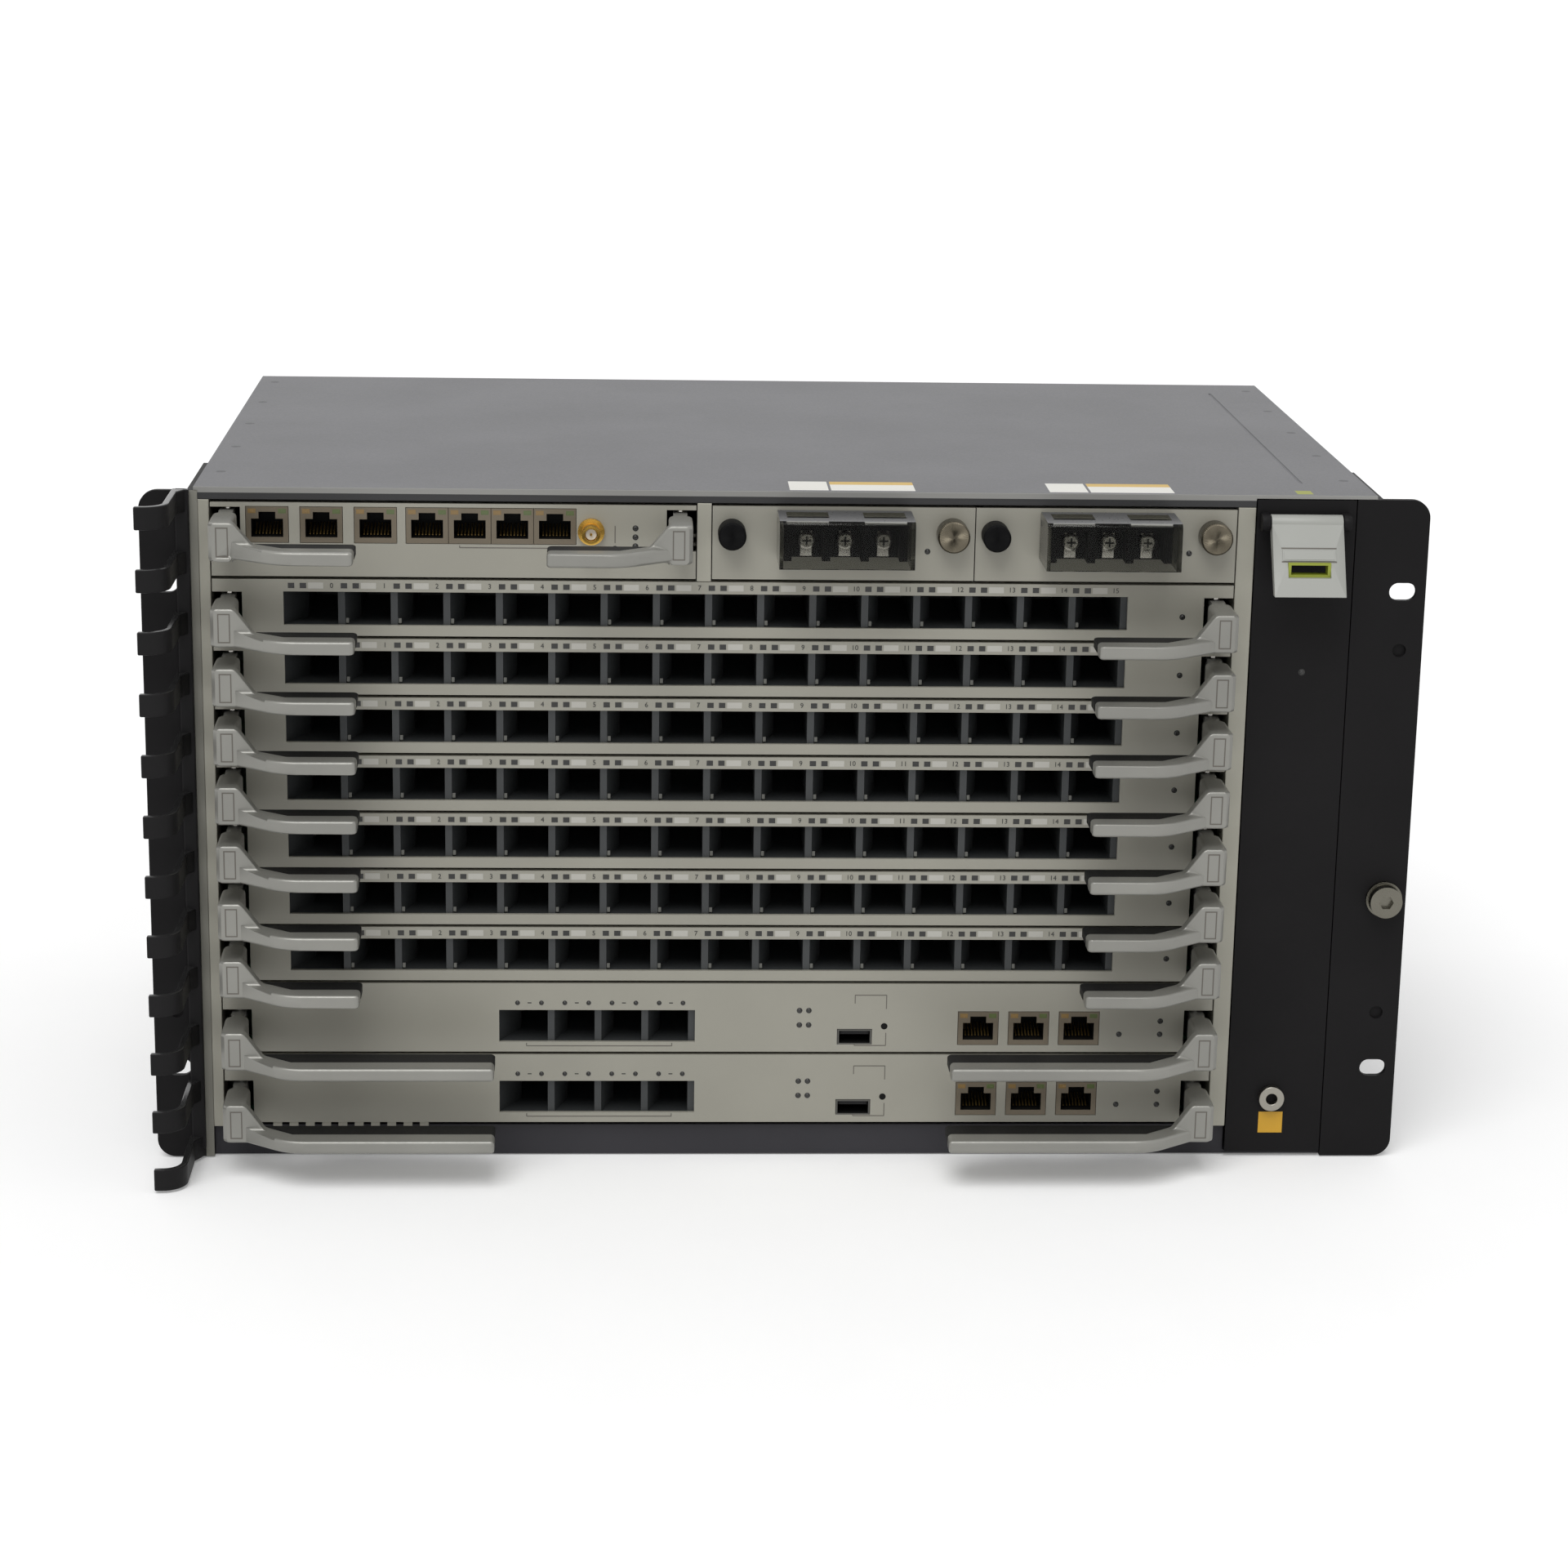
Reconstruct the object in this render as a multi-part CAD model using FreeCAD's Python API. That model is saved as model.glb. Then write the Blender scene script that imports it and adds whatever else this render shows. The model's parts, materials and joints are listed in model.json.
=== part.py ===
import FreeCAD
import Part
import math
import os

Vector = FreeCAD.Vector

# Chassis sheet metal, in millimetres
WIDTH = 442.0
DEPTH = 268.7
SHEET = 1.5
FIT = 0.4
HEM = 4.8
OVERCUT = 1.0

# Heights of the stacked rows
BASE_GAP = 13.5
CONTROL_PITCH = 29.0
CONTROL_COUNT = 2
SERVICE_PITCH = 22.6
SERVICE_COUNT = 7
TOP_ROW = 29.0
TOP_GAP = 5.2
ROW_GAP = 1.2

# Columns across the front
POST_LEFT = 4.2
POST_RIGHT = 6.7
FAN_PANEL = 37.5
SIDE_STRIP = 7.5
DIVIDER = 5.3
INTERFACE_WIDTH = 180.0

# Rack ears
EAR_REACH = 20.3
EAR_THICK = 2.5
EAR_RETURN = 58.0
EAR_CORNER = 7.0
SLOT_REACH = 11.55
SLOT_SPAN_Z = 190.5
SLOT_LENGTH = 10.3
SLOT_WIDTH = 6.8
DIMPLE_SPAN = 145.0
DIMPLE_RADIUS = 2.6
DIMPLE_DEPTH = 1.6

# Fibre comb
FINGER_COUNT = 12
FINGER_FIRST = 6.5
FINGER_PITCH = 23.1
FINGER_HEIGHT = 5.2
FINGER_THICK = 2.8
FINGER_STRAIGHT = 22.0
FINGER_BEND = 16.0
FINGER_ROOT = 7.0
SPINE_WIDTH = 5.2
SPINE_THICK = 2.5
SPINE_INSET = 1.5

# Card fronts
PANEL_THICK = 1.5
FLANGE = 10.0
FLANGE_THICK = 1.0
NOTCH_WIDTH = 11.0

# Boards, sockets and rails
BOARD_THICK = 1.6
BOARD_SETBACK = 10.6
BOARD_RISE = 2.0
JACK_BOARD_RISE = 11.8
EDGE_INSET = 1.2
RAIL_START = 14.0
RAIL_THICK = 1.2
RAIL_GRIP = 2.0
RAIL_WALL = 1.3
RAIL_FIT = 0.3
BACKPLANE_THICK = 3.0
BACKPLANE_SETBACK = 36.0
SOCKET_DEPTH = 8.0
PLUG_DEPTH = 12.0
PLUG_HEIGHT = 8.0
PLUG_WIDTH = 120.0
POWER_PLUG_WIDTH = 60.0

# Banks of module bays
BAY_COUNT = 16
BAY_PITCH = 19.6
BAY_WALL = 2.6
BAY_SLANT = 4.8
BAY_RECESS = 15.0
BAY_DEPTH = 55.0
BAY_PLATE = 1.0
BANK_INSET = 26.3
BANK_EXTRA = 3.2
SERVICE_BAY_HEIGHT = 12.8
CONTROL_BAY_COUNT = 4
CONTROL_BAY_PITCH = 18.1
CONTROL_BAY_HEIGHT = 13.0
CONTROL_BANK_INSET = 105.9

# Network jacks, small sockets
JACK_WIDTH = 15.6
JACK_HEIGHT = 13.4
JACK_DEPTH = 16.0
JACK_BORE_WIDTH = 11.8
JACK_BORE_HEIGHT = 6.9
JACK_BORE_RISE = 2.0
JACK_BORE_DEPTH = 13.0
JACK_KEY_WIDTH = 6.2
JACK_KEY_HEIGHT = 2.6
CONTROL_JACKS = 3
CONTROL_JACK_INSET = 91.4
CONTROL_JACK_PITCH = 19.7
SINGLE_JACKS = 3
SINGLE_JACK_INSET = 20.9
SINGLE_JACK_PITCH = 20.0
GANG_JACKS = 4
GANG_JACK_INSET = 80.0
GANG_JACK_PITCH = 15.8
USB_INSET = 139.5
USB_WIDTH = 13.2
USB_HEIGHT = 6.2
USB_WALL = 0.6
USB_DEPTH = 14.0
COAX_INSET = 140.9
COAX_FLANGE_RADIUS = 5.0
COAX_RADIUS = 3.4
COAX_BORE = 2.4
COAX_REACH = 7.5

# Ejector levers, measured from the pivot
PIVOT_INSET = 6.0
PIVOT_SETBACK = 4.6
PIN_RADIUS = 1.5
PIN_FIT = 0.06
ROOT_HALF = 2.6
ROOT_SHOULDER = 8.5
HUB_HALF = 4.4
HUB_REACH = 30.0
HUB_CORNER = 1.5
ARM_START = 20.0
RAMP_LENGTH = 7.0
BAR_START = 21.0
BAR_REACH = 42.0
BAR_DEPTH = 8.0
BAR_LENGTH = 28.0
CONTROL_BAR_LENGTH = 78.0
BEND_RADIUS = 20.0
GRIP_DEPTH = 11.0
GRIP_DROP = 0.6
LEVER_RISE = 1.5
ROOT_RISE = 2.0
BAR_HEIGHT = 5.2
SERVICE_HUB = 14.5
CONTROL_HUB = 15.0
INTERFACE_LEVER_RISE = 11.0
INTERFACE_BAR_LIFT = 1.0
INTERFACE_HUB = 14.5

# Power cards
KNOB_RADIUS = 5.2
KNOB_LENGTH = 9.5
BRIGHT_RADIUS = 6.0
BRIGHT_LENGTH = 8.0
KNOB_CHAMFER = 0.6
STUD_RADIUS = 2.5
STUD_LENGTH = 9.0
KNOB_INSET = 7.2
BRIGHT_INSET = 8.4
KNOB_RISE = 18.5
BLOCK_INSET = 26.0
BLOCK_WIDTH = 46.0
BLOCK_DEPTH = 14.0
BLOCK_HEIGHT = 15.0
BLOCK_RISE = 10.6
BARRIER_THICK = 3.0
BARRIER_CUT = 8.0
COVER_WALL = 1.5
COVER_DEPTH = 25.0
COVER_CORNER = 2.5
COVER_FIT = 0.5
COVER_DROP = 1.0
COVER_SLOT_WIDTH = 15.5
COVER_SLOT_LENGTH = 11.0
COVER_SLOT_SIDE = 3.0
COVER_SLOT_BACK = 6.5
COVER_AXIS = 5.0
HINGE_DROP = 1.8
HINGE_PIN = 1.2

# Fan tray
TRAY_WALL = 1.5
TRAY_INSET = 1.6
TRAY_BACK_GAP = 6.0
FAN_SIZE = 119.0
FAN_THICK = 25.4
FAN_BORE = 57.5
FAN_ROWS = 2
FAN_COLUMNS = 2
MOTOR_RADIUS = 18.0
MOTOR_THICK = 5.0
SHAFT_RADIUS = 2.0
SHAFT_LENGTH = 12.0
STRUT_WIDTH = 5.0
ROTOR_HUB = 19.0
ROTOR_TIP = 55.0
ROTOR_DEPTH = 17.0
ROTOR_WALL = 2.0
BLADE_COUNT = 7
BLADE_ROOT = 15.0
BLADE_THICK = 1.6
BLADE_PITCH = 40.0
HANDLE_WIDTH = 27.0
HANDLE_INSET = 4.5
HANDLE_TOP_DROP = 8.0
HANDLE_HEIGHT = 25.0
HANDLE_REACH = 20.0
HANDLE_THICK = 3.0
HANDLE_BARREL = 3.2
HANDLE_AXIS = 3.8
HANDLE_SLOT_WIDTH = 16.0
HANDLE_SLOT_HEIGHT = 5.5
HANDLE_SLOT_RISE = 6.5
LUG_THICK = 3.0
STRAP_JACK_RADIUS = 5.0
STRAP_JACK_BORE = 2.2
STRAP_JACK_REACH = 3.0
STRAP_JACK_INSET = 17.2
STRAP_JACK_RISE = 24.5

# Wall vents
VENT_LENGTH = 66.0
VENT_WIDTH = 6.0
VENT_COLUMNS = 10
VENT_ROWS = 3
VENT_PITCH_Y = 17.0
VENT_PITCH_Z = 76.0
VENT_SHIFT = 20.0
WINDOW_LENGTH = 170.0
SEAM_INSET = 25.0
SEAM_WIDTH = 1.0
SEAM_DEPTH = 0.4
SEAM_MARGIN = 25.0

# Ground screw on the right ear
GROUND_Z = 106.0
GROUND_RADIUS = 6.2
GROUND_HEAD = 4.5
GROUND_COLLAR_RADIUS = 7.0
GROUND_COLLAR = 1.6
GROUND_SOCKET = 2.8

# Places that follow from the sizes above
HEIGHT = (BASE_GAP + CONTROL_COUNT * CONTROL_PITCH + SERVICE_COUNT * SERVICE_PITCH
          + TOP_ROW + TOP_GAP)
FRONT = -DEPTH / 2
BACK = DEPTH / 2
LEFT = -WIDTH / 2
RIGHT = WIDTH / 2
EAR_X = RIGHT + EAR_REACH
SLOT_X = RIGHT + SLOT_REACH
INNER_LEFT = LEFT + SHEET
INNER_RIGHT = RIGHT - SHEET
STRIP_X = RIGHT - SIDE_STRIP
FAN_X1 = STRIP_X - FIT
FAN_X0 = FAN_X1 - FAN_PANEL
POST_X1 = FAN_X0 - FIT
POST_X0 = POST_X1 - POST_RIGHT
CARD_X0 = INNER_LEFT + POST_LEFT + FIT
CARD_X1 = POST_X0 - FIT
TOP_ROW_Z = BASE_GAP + CONTROL_COUNT * CONTROL_PITCH + SERVICE_COUNT * SERVICE_PITCH
INTERFACE_X1 = CARD_X0 + INTERFACE_WIDTH
POWER_X0 = INTERFACE_X1 + DIVIDER + 2 * FIT
POWER_WIDTH = (CARD_X1 - POWER_X0 - FIT) / 2
BACKPLANE_Y = BACK - BACKPLANE_SETBACK
BOARD_END = BACKPLANE_Y - SOCKET_DEPTH - RAIL_FIT
INNER_TOP = HEIGHT - SHEET
CONTROL_BANK_X = CARD_X0 + CONTROL_BANK_INSET
CONTROL_JACK_X = CARD_X1 - CONTROL_JACK_INSET
USB_X = CARD_X1 - USB_INSET
SINGLE_JACK_X = CARD_X0 + SINGLE_JACK_INSET
GANG_JACK_X = CARD_X0 + GANG_JACK_INSET
COAX_X = CARD_X0 + COAX_INSET
STRAP_JACK_X = FAN_X0 + STRAP_JACK_INSET


def block(x0, x1, y0, y1, z0, z1):
    return Part.makeBox(x1 - x0, y1 - y0, z1 - z0, Vector(x0, y0, z0))


def rod(radius, start, end):
    return Part.makeCylinder(radius, (end - start).Length, start, end - start)


def loop_face(points, place):
    corners = [place(*p) for p in points]
    return Part.Face(Part.makePolygon(corners + corners[:1]))


def in_plan(z):
    return lambda x, y: Vector(x, y, z)


def in_side(x):
    return lambda y, z: Vector(x, y, z)


def in_front(y):
    return lambda x, z: Vector(x, y, z)


def plan_prism(points, z0, z1):
    return loop_face(points, in_plan(z0)).extrude(Vector(0, 0, z1 - z0))


def side_prism(points, x0, x1):
    return loop_face(points, in_side(x0)).extrude(Vector(x1 - x0, 0, 0))


def front_prism(points, y0, y1):
    return loop_face(points, in_front(y0)).extrude(Vector(0, y1 - y0, 0))


def near(edge, x, y):
    """Whether an upright edge stands at x, y."""
    middle = edge.CenterOfMass
    return abs(middle.x - x) < 0.01 and abs(middle.y - y) < 0.01


def joined(first, *others):
    return first.fuse(list(others)).removeSplitter()


def save(name, *solids):
    shape = solids[0] if len(solids) == 1 else Part.makeCompound(list(solids))
    shape.exportStep("parts/%s.step" % name)


def mirror_x(solid, centre):
    return solid.mirror(Vector(centre, 0, 0), Vector(1, 0, 0))


# Underside of each row, counted from the top down, and of the boards in them
def service_bottom(number):
    return TOP_ROW_Z - number * SERVICE_PITCH


def control_bottom(number):
    return BASE_GAP + (CONTROL_COUNT - number) * CONTROL_PITCH


def board_heights():
    heights = [control_bottom(n + 1) + BOARD_RISE for n in range(CONTROL_COUNT)]
    heights += [service_bottom(n + 1) + BOARD_RISE for n in range(SERVICE_COUNT)]
    return heights + [TOP_ROW_Z + JACK_BOARD_RISE]


# Chassis shell
def vent_slots(x0, x1):
    slots = []
    for column in range(VENT_COLUMNS):
        y = VENT_SHIFT + (column - (VENT_COLUMNS - 1) / 2) * VENT_PITCH_Y
        for row in range(VENT_ROWS):
            z = HEIGHT / 2 + (row - (VENT_ROWS - 1) / 2) * VENT_PITCH_Z
            slots.append(block(x0, x1, y - VENT_WIDTH / 2, y + VENT_WIDTH / 2,
                               z - VENT_LENGTH / 2, z + VENT_LENGTH / 2))
    return slots


def left_wall():
    wall = block(LEFT, INNER_LEFT, FRONT + EAR_THICK, BACK, 0, INNER_TOP)
    return wall.cut(vent_slots(LEFT - OVERCUT, INNER_LEFT + OVERCUT))


def base_plate():
    lip_y = FRONT + EAR_THICK
    floor = block(INNER_LEFT, INNER_RIGHT, lip_y, BACK, 0, SHEET)
    lip = block(INNER_LEFT, POST_X1, lip_y, lip_y + SHEET, 0, BASE_GAP - ROW_GAP)
    return joined(floor, lip)


def rear_plate():
    return block(INNER_LEFT, INNER_RIGHT, BACK - SHEET, BACK, SHEET, INNER_TOP)


def top_cover():
    sheet = block(LEFT, RIGHT, FRONT, BACK, INNER_TOP, HEIGHT)
    hem = block(INNER_LEFT, POST_X1, FRONT, FRONT + SHEET, HEIGHT - HEM, HEIGHT)
    seam_x = RIGHT - SEAM_INSET
    seam = block(seam_x, seam_x + SEAM_WIDTH, FRONT + SEAM_MARGIN, BACK - SEAM_MARGIN,
                 HEIGHT - SEAM_DEPTH, HEIGHT + OVERCUT)
    return joined(sheet, hem).cut(seam)


# Rack ears and what sits on them
def rack_ear(inner_x):
    """Ear of the right side, with its plate starting at inner_x and a flange along the wall."""
    plate = block(inner_x, EAR_X, FRONT, FRONT + EAR_THICK, 0, INNER_TOP)
    corners = [e for e in plate.Edges
               if abs(e.CenterOfMass.x - EAR_X) < 0.01
               and abs(e.tangentAt(0).y) > 0.999]
    plate = plate.makeFillet(EAR_CORNER, corners)
    flange = block(RIGHT, RIGHT + EAR_THICK, FRONT, FRONT + EAR_RETURN, 0, INNER_TOP)
    ear = joined(plate, flange)
    x = SLOT_X
    reach = (SLOT_LENGTH - SLOT_WIDTH) / 2
    for side in (-1, 1):
        z = HEIGHT / 2 + side * SLOT_SPAN_Z / 2
        slot = block(x - reach, x + reach, FRONT - OVERCUT, FRONT + EAR_THICK + OVERCUT,
                     z - SLOT_WIDTH / 2, z + SLOT_WIDTH / 2)
        for end in (x - reach, x + reach):
            slot = slot.fuse(rod(SLOT_WIDTH / 2, Vector(end, FRONT - OVERCUT, z),
                                 Vector(end, FRONT + EAR_THICK + OVERCUT, z)))
        hole_z = HEIGHT / 2 + side * DIMPLE_SPAN / 2
        hole = rod(DIMPLE_RADIUS, Vector(x, FRONT - OVERCUT, hole_z),
                   Vector(x, FRONT + DIMPLE_DEPTH, hole_z))
        ear = ear.cut(slot.removeSplitter()).cut(hole)
    return ear


def ground_screw():
    x = SLOT_X
    y0 = FRONT - GROUND_COLLAR
    collar = rod(GROUND_COLLAR_RADIUS, Vector(x, y0, GROUND_Z), Vector(x, FRONT, GROUND_Z))
    tip = Vector(x, y0 - GROUND_HEAD, GROUND_Z)
    head = rod(GROUND_RADIUS, tip, Vector(x, y0, GROUND_Z))
    corners = [(x + GROUND_SOCKET * math.cos(a), GROUND_Z + GROUND_SOCKET * math.sin(a))
               for a in (math.pi / 3 * i for i in range(6))]
    socket = front_prism(corners, tip.y - OVERCUT, tip.y + GROUND_HEAD / 2)
    return joined(collar, head).cut(socket)


def comb_finger(z0, z1):
    """One J-shaped finger: a root, a straight run forward and a bend outwards."""
    root_x = LEFT - SPINE_INSET
    spine_x = root_x - SPINE_WIDTH
    inner_x = spine_x + FINGER_THICK / 2
    outer_x = inner_x - FINGER_THICK
    start = FRONT - FINGER_STRAIGHT
    tip_x = inner_x - FINGER_BEND
    centre = Vector(tip_x, start, z0)
    outer_radius = FINGER_BEND
    inner_radius = FINGER_BEND - FINGER_THICK
    diagonal = Vector(math.sqrt(0.5), -math.sqrt(0.5), 0)
    far = Vector(tip_x, start - outer_radius, z0)
    near = Vector(tip_x, start - inner_radius, z0)
    edges = [
        Part.makePolygon([Vector(outer_x, start, z0), Vector(outer_x, FRONT, z0),
                          Vector(root_x, FRONT, z0), Vector(inner_x, FRONT - FINGER_ROOT, z0),
                          Vector(inner_x, start, z0)]).Edges,
        [Part.Arc(Vector(inner_x, start, z0), centre + diagonal * outer_radius, far).toShape()],
        [Part.makeLine(far, near)],
        [Part.Arc(near, centre + diagonal * inner_radius, Vector(outer_x, start, z0)).toShape()],
    ]
    wire = Part.Wire([edge for group in edges for edge in group])
    return Part.Face(wire).extrude(Vector(0, 0, z1 - z0))


def cable_comb():
    first = FINGER_FIRST - FINGER_HEIGHT / 2
    last = FINGER_FIRST + (FINGER_COUNT - 1) * FINGER_PITCH + FINGER_HEIGHT / 2
    spine_x = LEFT - SPINE_INSET - SPINE_WIDTH
    spine = block(spine_x, spine_x + SPINE_WIDTH, FRONT - SPINE_THICK, FRONT, first, last)
    fingers = []
    for number in range(FINGER_COUNT):
        z0 = first + number * FINGER_PITCH
        fingers.append(comb_finger(z0, z0 + FINGER_HEIGHT))
    return joined(spine, *fingers)


# Rails that carry the boards, with the front posts
def card_guide(wall_x, post_x, edge_x):
    """Wall with windows, the post in front of it and paired rails; edge_x is the boards' edge there."""
    inward = 1 if edge_x > wall_x else -1
    rail_y = FRONT + RAIL_START
    face_x = wall_x + inward * RAIL_WALL
    low, high = sorted((wall_x, face_x))
    wall = block(low, high, rail_y, BACKPLANE_Y, SHEET, INNER_TOP)
    window_y = rail_y + BOARD_SETBACK
    windows = []
    for z in board_heights()[CONTROL_COUNT:]:
        windows.append(block(low - OVERCUT, high + OVERCUT, window_y, window_y + WINDOW_LENGTH,
                             z - SERVICE_PITCH / 2, z - 2 * RAIL_THICK))
    low, high = sorted((wall_x, post_x))
    post = block(low, high, FRONT, rail_y, BASE_GAP - ROW_GAP, HEIGHT - HEM)
    low, high = sorted((face_x, edge_x + inward * RAIL_GRIP))
    rails = []
    for z in board_heights():
        for rail_z in (z - RAIL_FIT - RAIL_THICK, z + BOARD_THICK + RAIL_FIT):
            rails.append(block(low, high, rail_y, BACKPLANE_Y, rail_z, rail_z + RAIL_THICK))
    return [wall.cut(windows), post] + rails


def top_row_divider():
    """Shelf under the top row, the upright between its cards and their rails."""
    shelf_z = TOP_ROW_Z - FLANGE_THICK / 2
    x0 = INTERFACE_X1 + FIT
    x1 = x0 + DIVIDER
    shelf = block(INNER_LEFT + RAIL_WALL, POST_X1 - RAIL_WALL, FRONT + RAIL_START,
                  BACKPLANE_Y, shelf_z, shelf_z + FLANGE_THICK)
    upright = block(x0, x1, FRONT, BACKPLANE_Y, shelf_z, HEIGHT - HEM)
    board_z = TOP_ROW_Z + JACK_BOARD_RISE
    rails = []
    for rail_z in (board_z - RAIL_FIT - RAIL_THICK, board_z + BOARD_THICK + RAIL_FIT):
        rails.append(block(INTERFACE_X1 - EDGE_INSET - RAIL_GRIP, x0, FRONT + RAIL_START,
                           BACKPLANE_Y, rail_z, rail_z + RAIL_THICK))
    return joined(shelf, upright, *rails)


# Backplane and the plugs that meet it
def plug_spans():
    """Centre and width of the plug on each board, from the lowest row up."""
    middle = (CARD_X0 + CARD_X1) / 2
    spans = [(middle, PLUG_WIDTH, z) for z in board_heights()[:-1]]
    spans.append(((CARD_X0 + INTERFACE_X1) / 2, POWER_PLUG_WIDTH, board_heights()[-1]))
    for number in range(2):
        x0 = POWER_X0 + number * (POWER_WIDTH + FIT)
        spans.append((x0 + POWER_WIDTH / 2, POWER_PLUG_WIDTH, TOP_ROW_Z + BOARD_RISE))
    return spans


def backplane():
    plate = block(INNER_LEFT, POST_X1, BACKPLANE_Y, BACKPLANE_Y + BACKPLANE_THICK,
                  SHEET, INNER_TOP)
    sockets = []
    for x, width, z in plug_spans():
        z0 = z + BOARD_THICK
        sockets.append(block(x - width / 2, x + width / 2, BACKPLANE_Y - SOCKET_DEPTH,
                             BACKPLANE_Y, z0, z0 + PLUG_HEIGHT))
    return [plate] + sockets


def board(x0, x1, z):
    return block(x0 + EDGE_INSET, x1 - EDGE_INSET, FRONT + BOARD_SETBACK, BOARD_END,
                 z, z + BOARD_THICK)


def plug(x, width, z):
    z0 = z + BOARD_THICK
    return block(x - width / 2, x + width / 2, BOARD_END - PLUG_DEPTH, BOARD_END,
                 z0, z0 + PLUG_HEIGHT)


# Folded card front with flanges, cut for what shows through it
def card_front(x0, x1, z0, z1, holes):
    inner = FRONT + PANEL_THICK
    rear = FRONT + FLANGE
    profile = [(FRONT, z0), (rear, z0), (rear, z0 + FLANGE_THICK), (inner, z0 + FLANGE_THICK),
               (inner, z1 - FLANGE_THICK), (rear, z1 - FLANGE_THICK), (rear, z1), (FRONT, z1)]
    front = side_prism(profile, x0, x1)
    return front.cut(holes)


def through(x0, x1, z0, z1):
    return block(x0, x1, FRONT - OVERCUT, FRONT + PANEL_THICK + OVERCUT, z0, z1)


def lever_notches(x0, x1, z0, z1):
    return [through(x0 - OVERCUT, x0 + NOTCH_WIDTH, z0, z1),
            through(x1 - NOTCH_WIDTH, x1 + OVERCUT, z0, z1)]


def lever_pins(x0, x1, z0, z1):
    y = FRONT + PIVOT_SETBACK
    return [rod(PIN_RADIUS, Vector(x, y, z0), Vector(x, y, z1))
            for x in (x0 + PIVOT_INSET, x1 - PIVOT_INSET)]


# Bank of module bays: plates, slanted walls between bays, and a rear wall
def bay_wall(x, front_width, slant, z0, z1):
    front = FRONT + PANEL_THICK
    rear = FRONT + BAY_DEPTH
    inner = x + front_width
    return plan_prism([(x, front), (inner, front), (inner + slant, front + BAY_RECESS),
                       (inner + slant, rear), (x, rear)], z0, z1)


def bay_bank(x0, count, pitch, z0, height):
    """Bays from x0 to the right; the window of the front matches bank_end."""
    z1 = z0 + height
    front = FRONT + PANEL_THICK
    rear = FRONT + BAY_DEPTH
    low = x0 - BAY_WALL
    high = bank_end(x0, count, pitch) + BAY_WALL
    walls = [bay_wall(low, BAY_WALL, BAY_SLANT + BANK_EXTRA, z0, z1)]
    for number in range(1, count):
        x = x0 + BANK_EXTRA - BAY_WALL + number * pitch
        walls.append(bay_wall(x, BAY_WALL, BAY_SLANT, z0, z1))
    walls.append(bay_wall(high - 2 * BAY_WALL, 2 * BAY_WALL, 0, z0, z1))
    plates = [block(low, high, front, rear, z0 - BAY_PLATE, z0),
              block(low, high, front, rear, z1, z1 + BAY_PLATE),
              block(low, high, rear, rear + BAY_PLATE, z0 - BAY_PLATE, z1 + BAY_PLATE)]
    return plates + walls


def bank_end(x0, count, pitch):
    return x0 + BANK_EXTRA + count * pitch


# Sockets on the boards
def network_jack(x, z0):
    """Jack with its keyed opening towards the front; z0 is its underside."""
    body = block(x - JACK_WIDTH / 2, x + JACK_WIDTH / 2, FRONT, FRONT + JACK_DEPTH,
                 z0, z0 + JACK_HEIGHT)
    low = z0 + JACK_BORE_RISE
    step = low + JACK_BORE_HEIGHT
    top = step + JACK_KEY_HEIGHT
    half = JACK_BORE_WIDTH / 2
    key = JACK_KEY_WIDTH / 2
    keyhole = [(x - half, low), (x + half, low), (x + half, step), (x + key, step),
               (x + key, top), (x - key, top), (x - key, step), (x - half, step)]
    return body.cut(front_prism(keyhole, FRONT - OVERCUT, FRONT + JACK_BORE_DEPTH))


def jack_hole(x, z0):
    half = JACK_WIDTH / 2 + FIT / 2
    return through(x - half, x + half, z0 - FIT / 2, z0 + JACK_HEIGHT + FIT / 2)


def usb_socket(z0):
    half = USB_WIDTH / 2
    shell = block(USB_X - half, USB_X + half, FRONT, FRONT + USB_DEPTH, z0, z0 + USB_HEIGHT)
    hollow = block(USB_X - half + USB_WALL, USB_X + half - USB_WALL, FRONT - OVERCUT,
                   FRONT + USB_DEPTH - USB_WALL, z0 + USB_WALL, z0 + USB_HEIGHT - USB_WALL)
    return shell.cut(hollow)


def coax_socket(z):
    def ring(radius, y0, y1):
        return rod(radius, Vector(COAX_X, y0, z), Vector(COAX_X, y1, z))
    flange = ring(COAX_FLANGE_RADIUS, FRONT - PANEL_THICK, FRONT)
    barrel = ring(COAX_RADIUS, FRONT - COAX_REACH, FRONT + JACK_DEPTH)
    bore = ring(COAX_BORE, FRONT - COAX_REACH - OVERCUT, FRONT + PANEL_THICK)
    return joined(flange, barrel).cut(bore)


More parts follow.
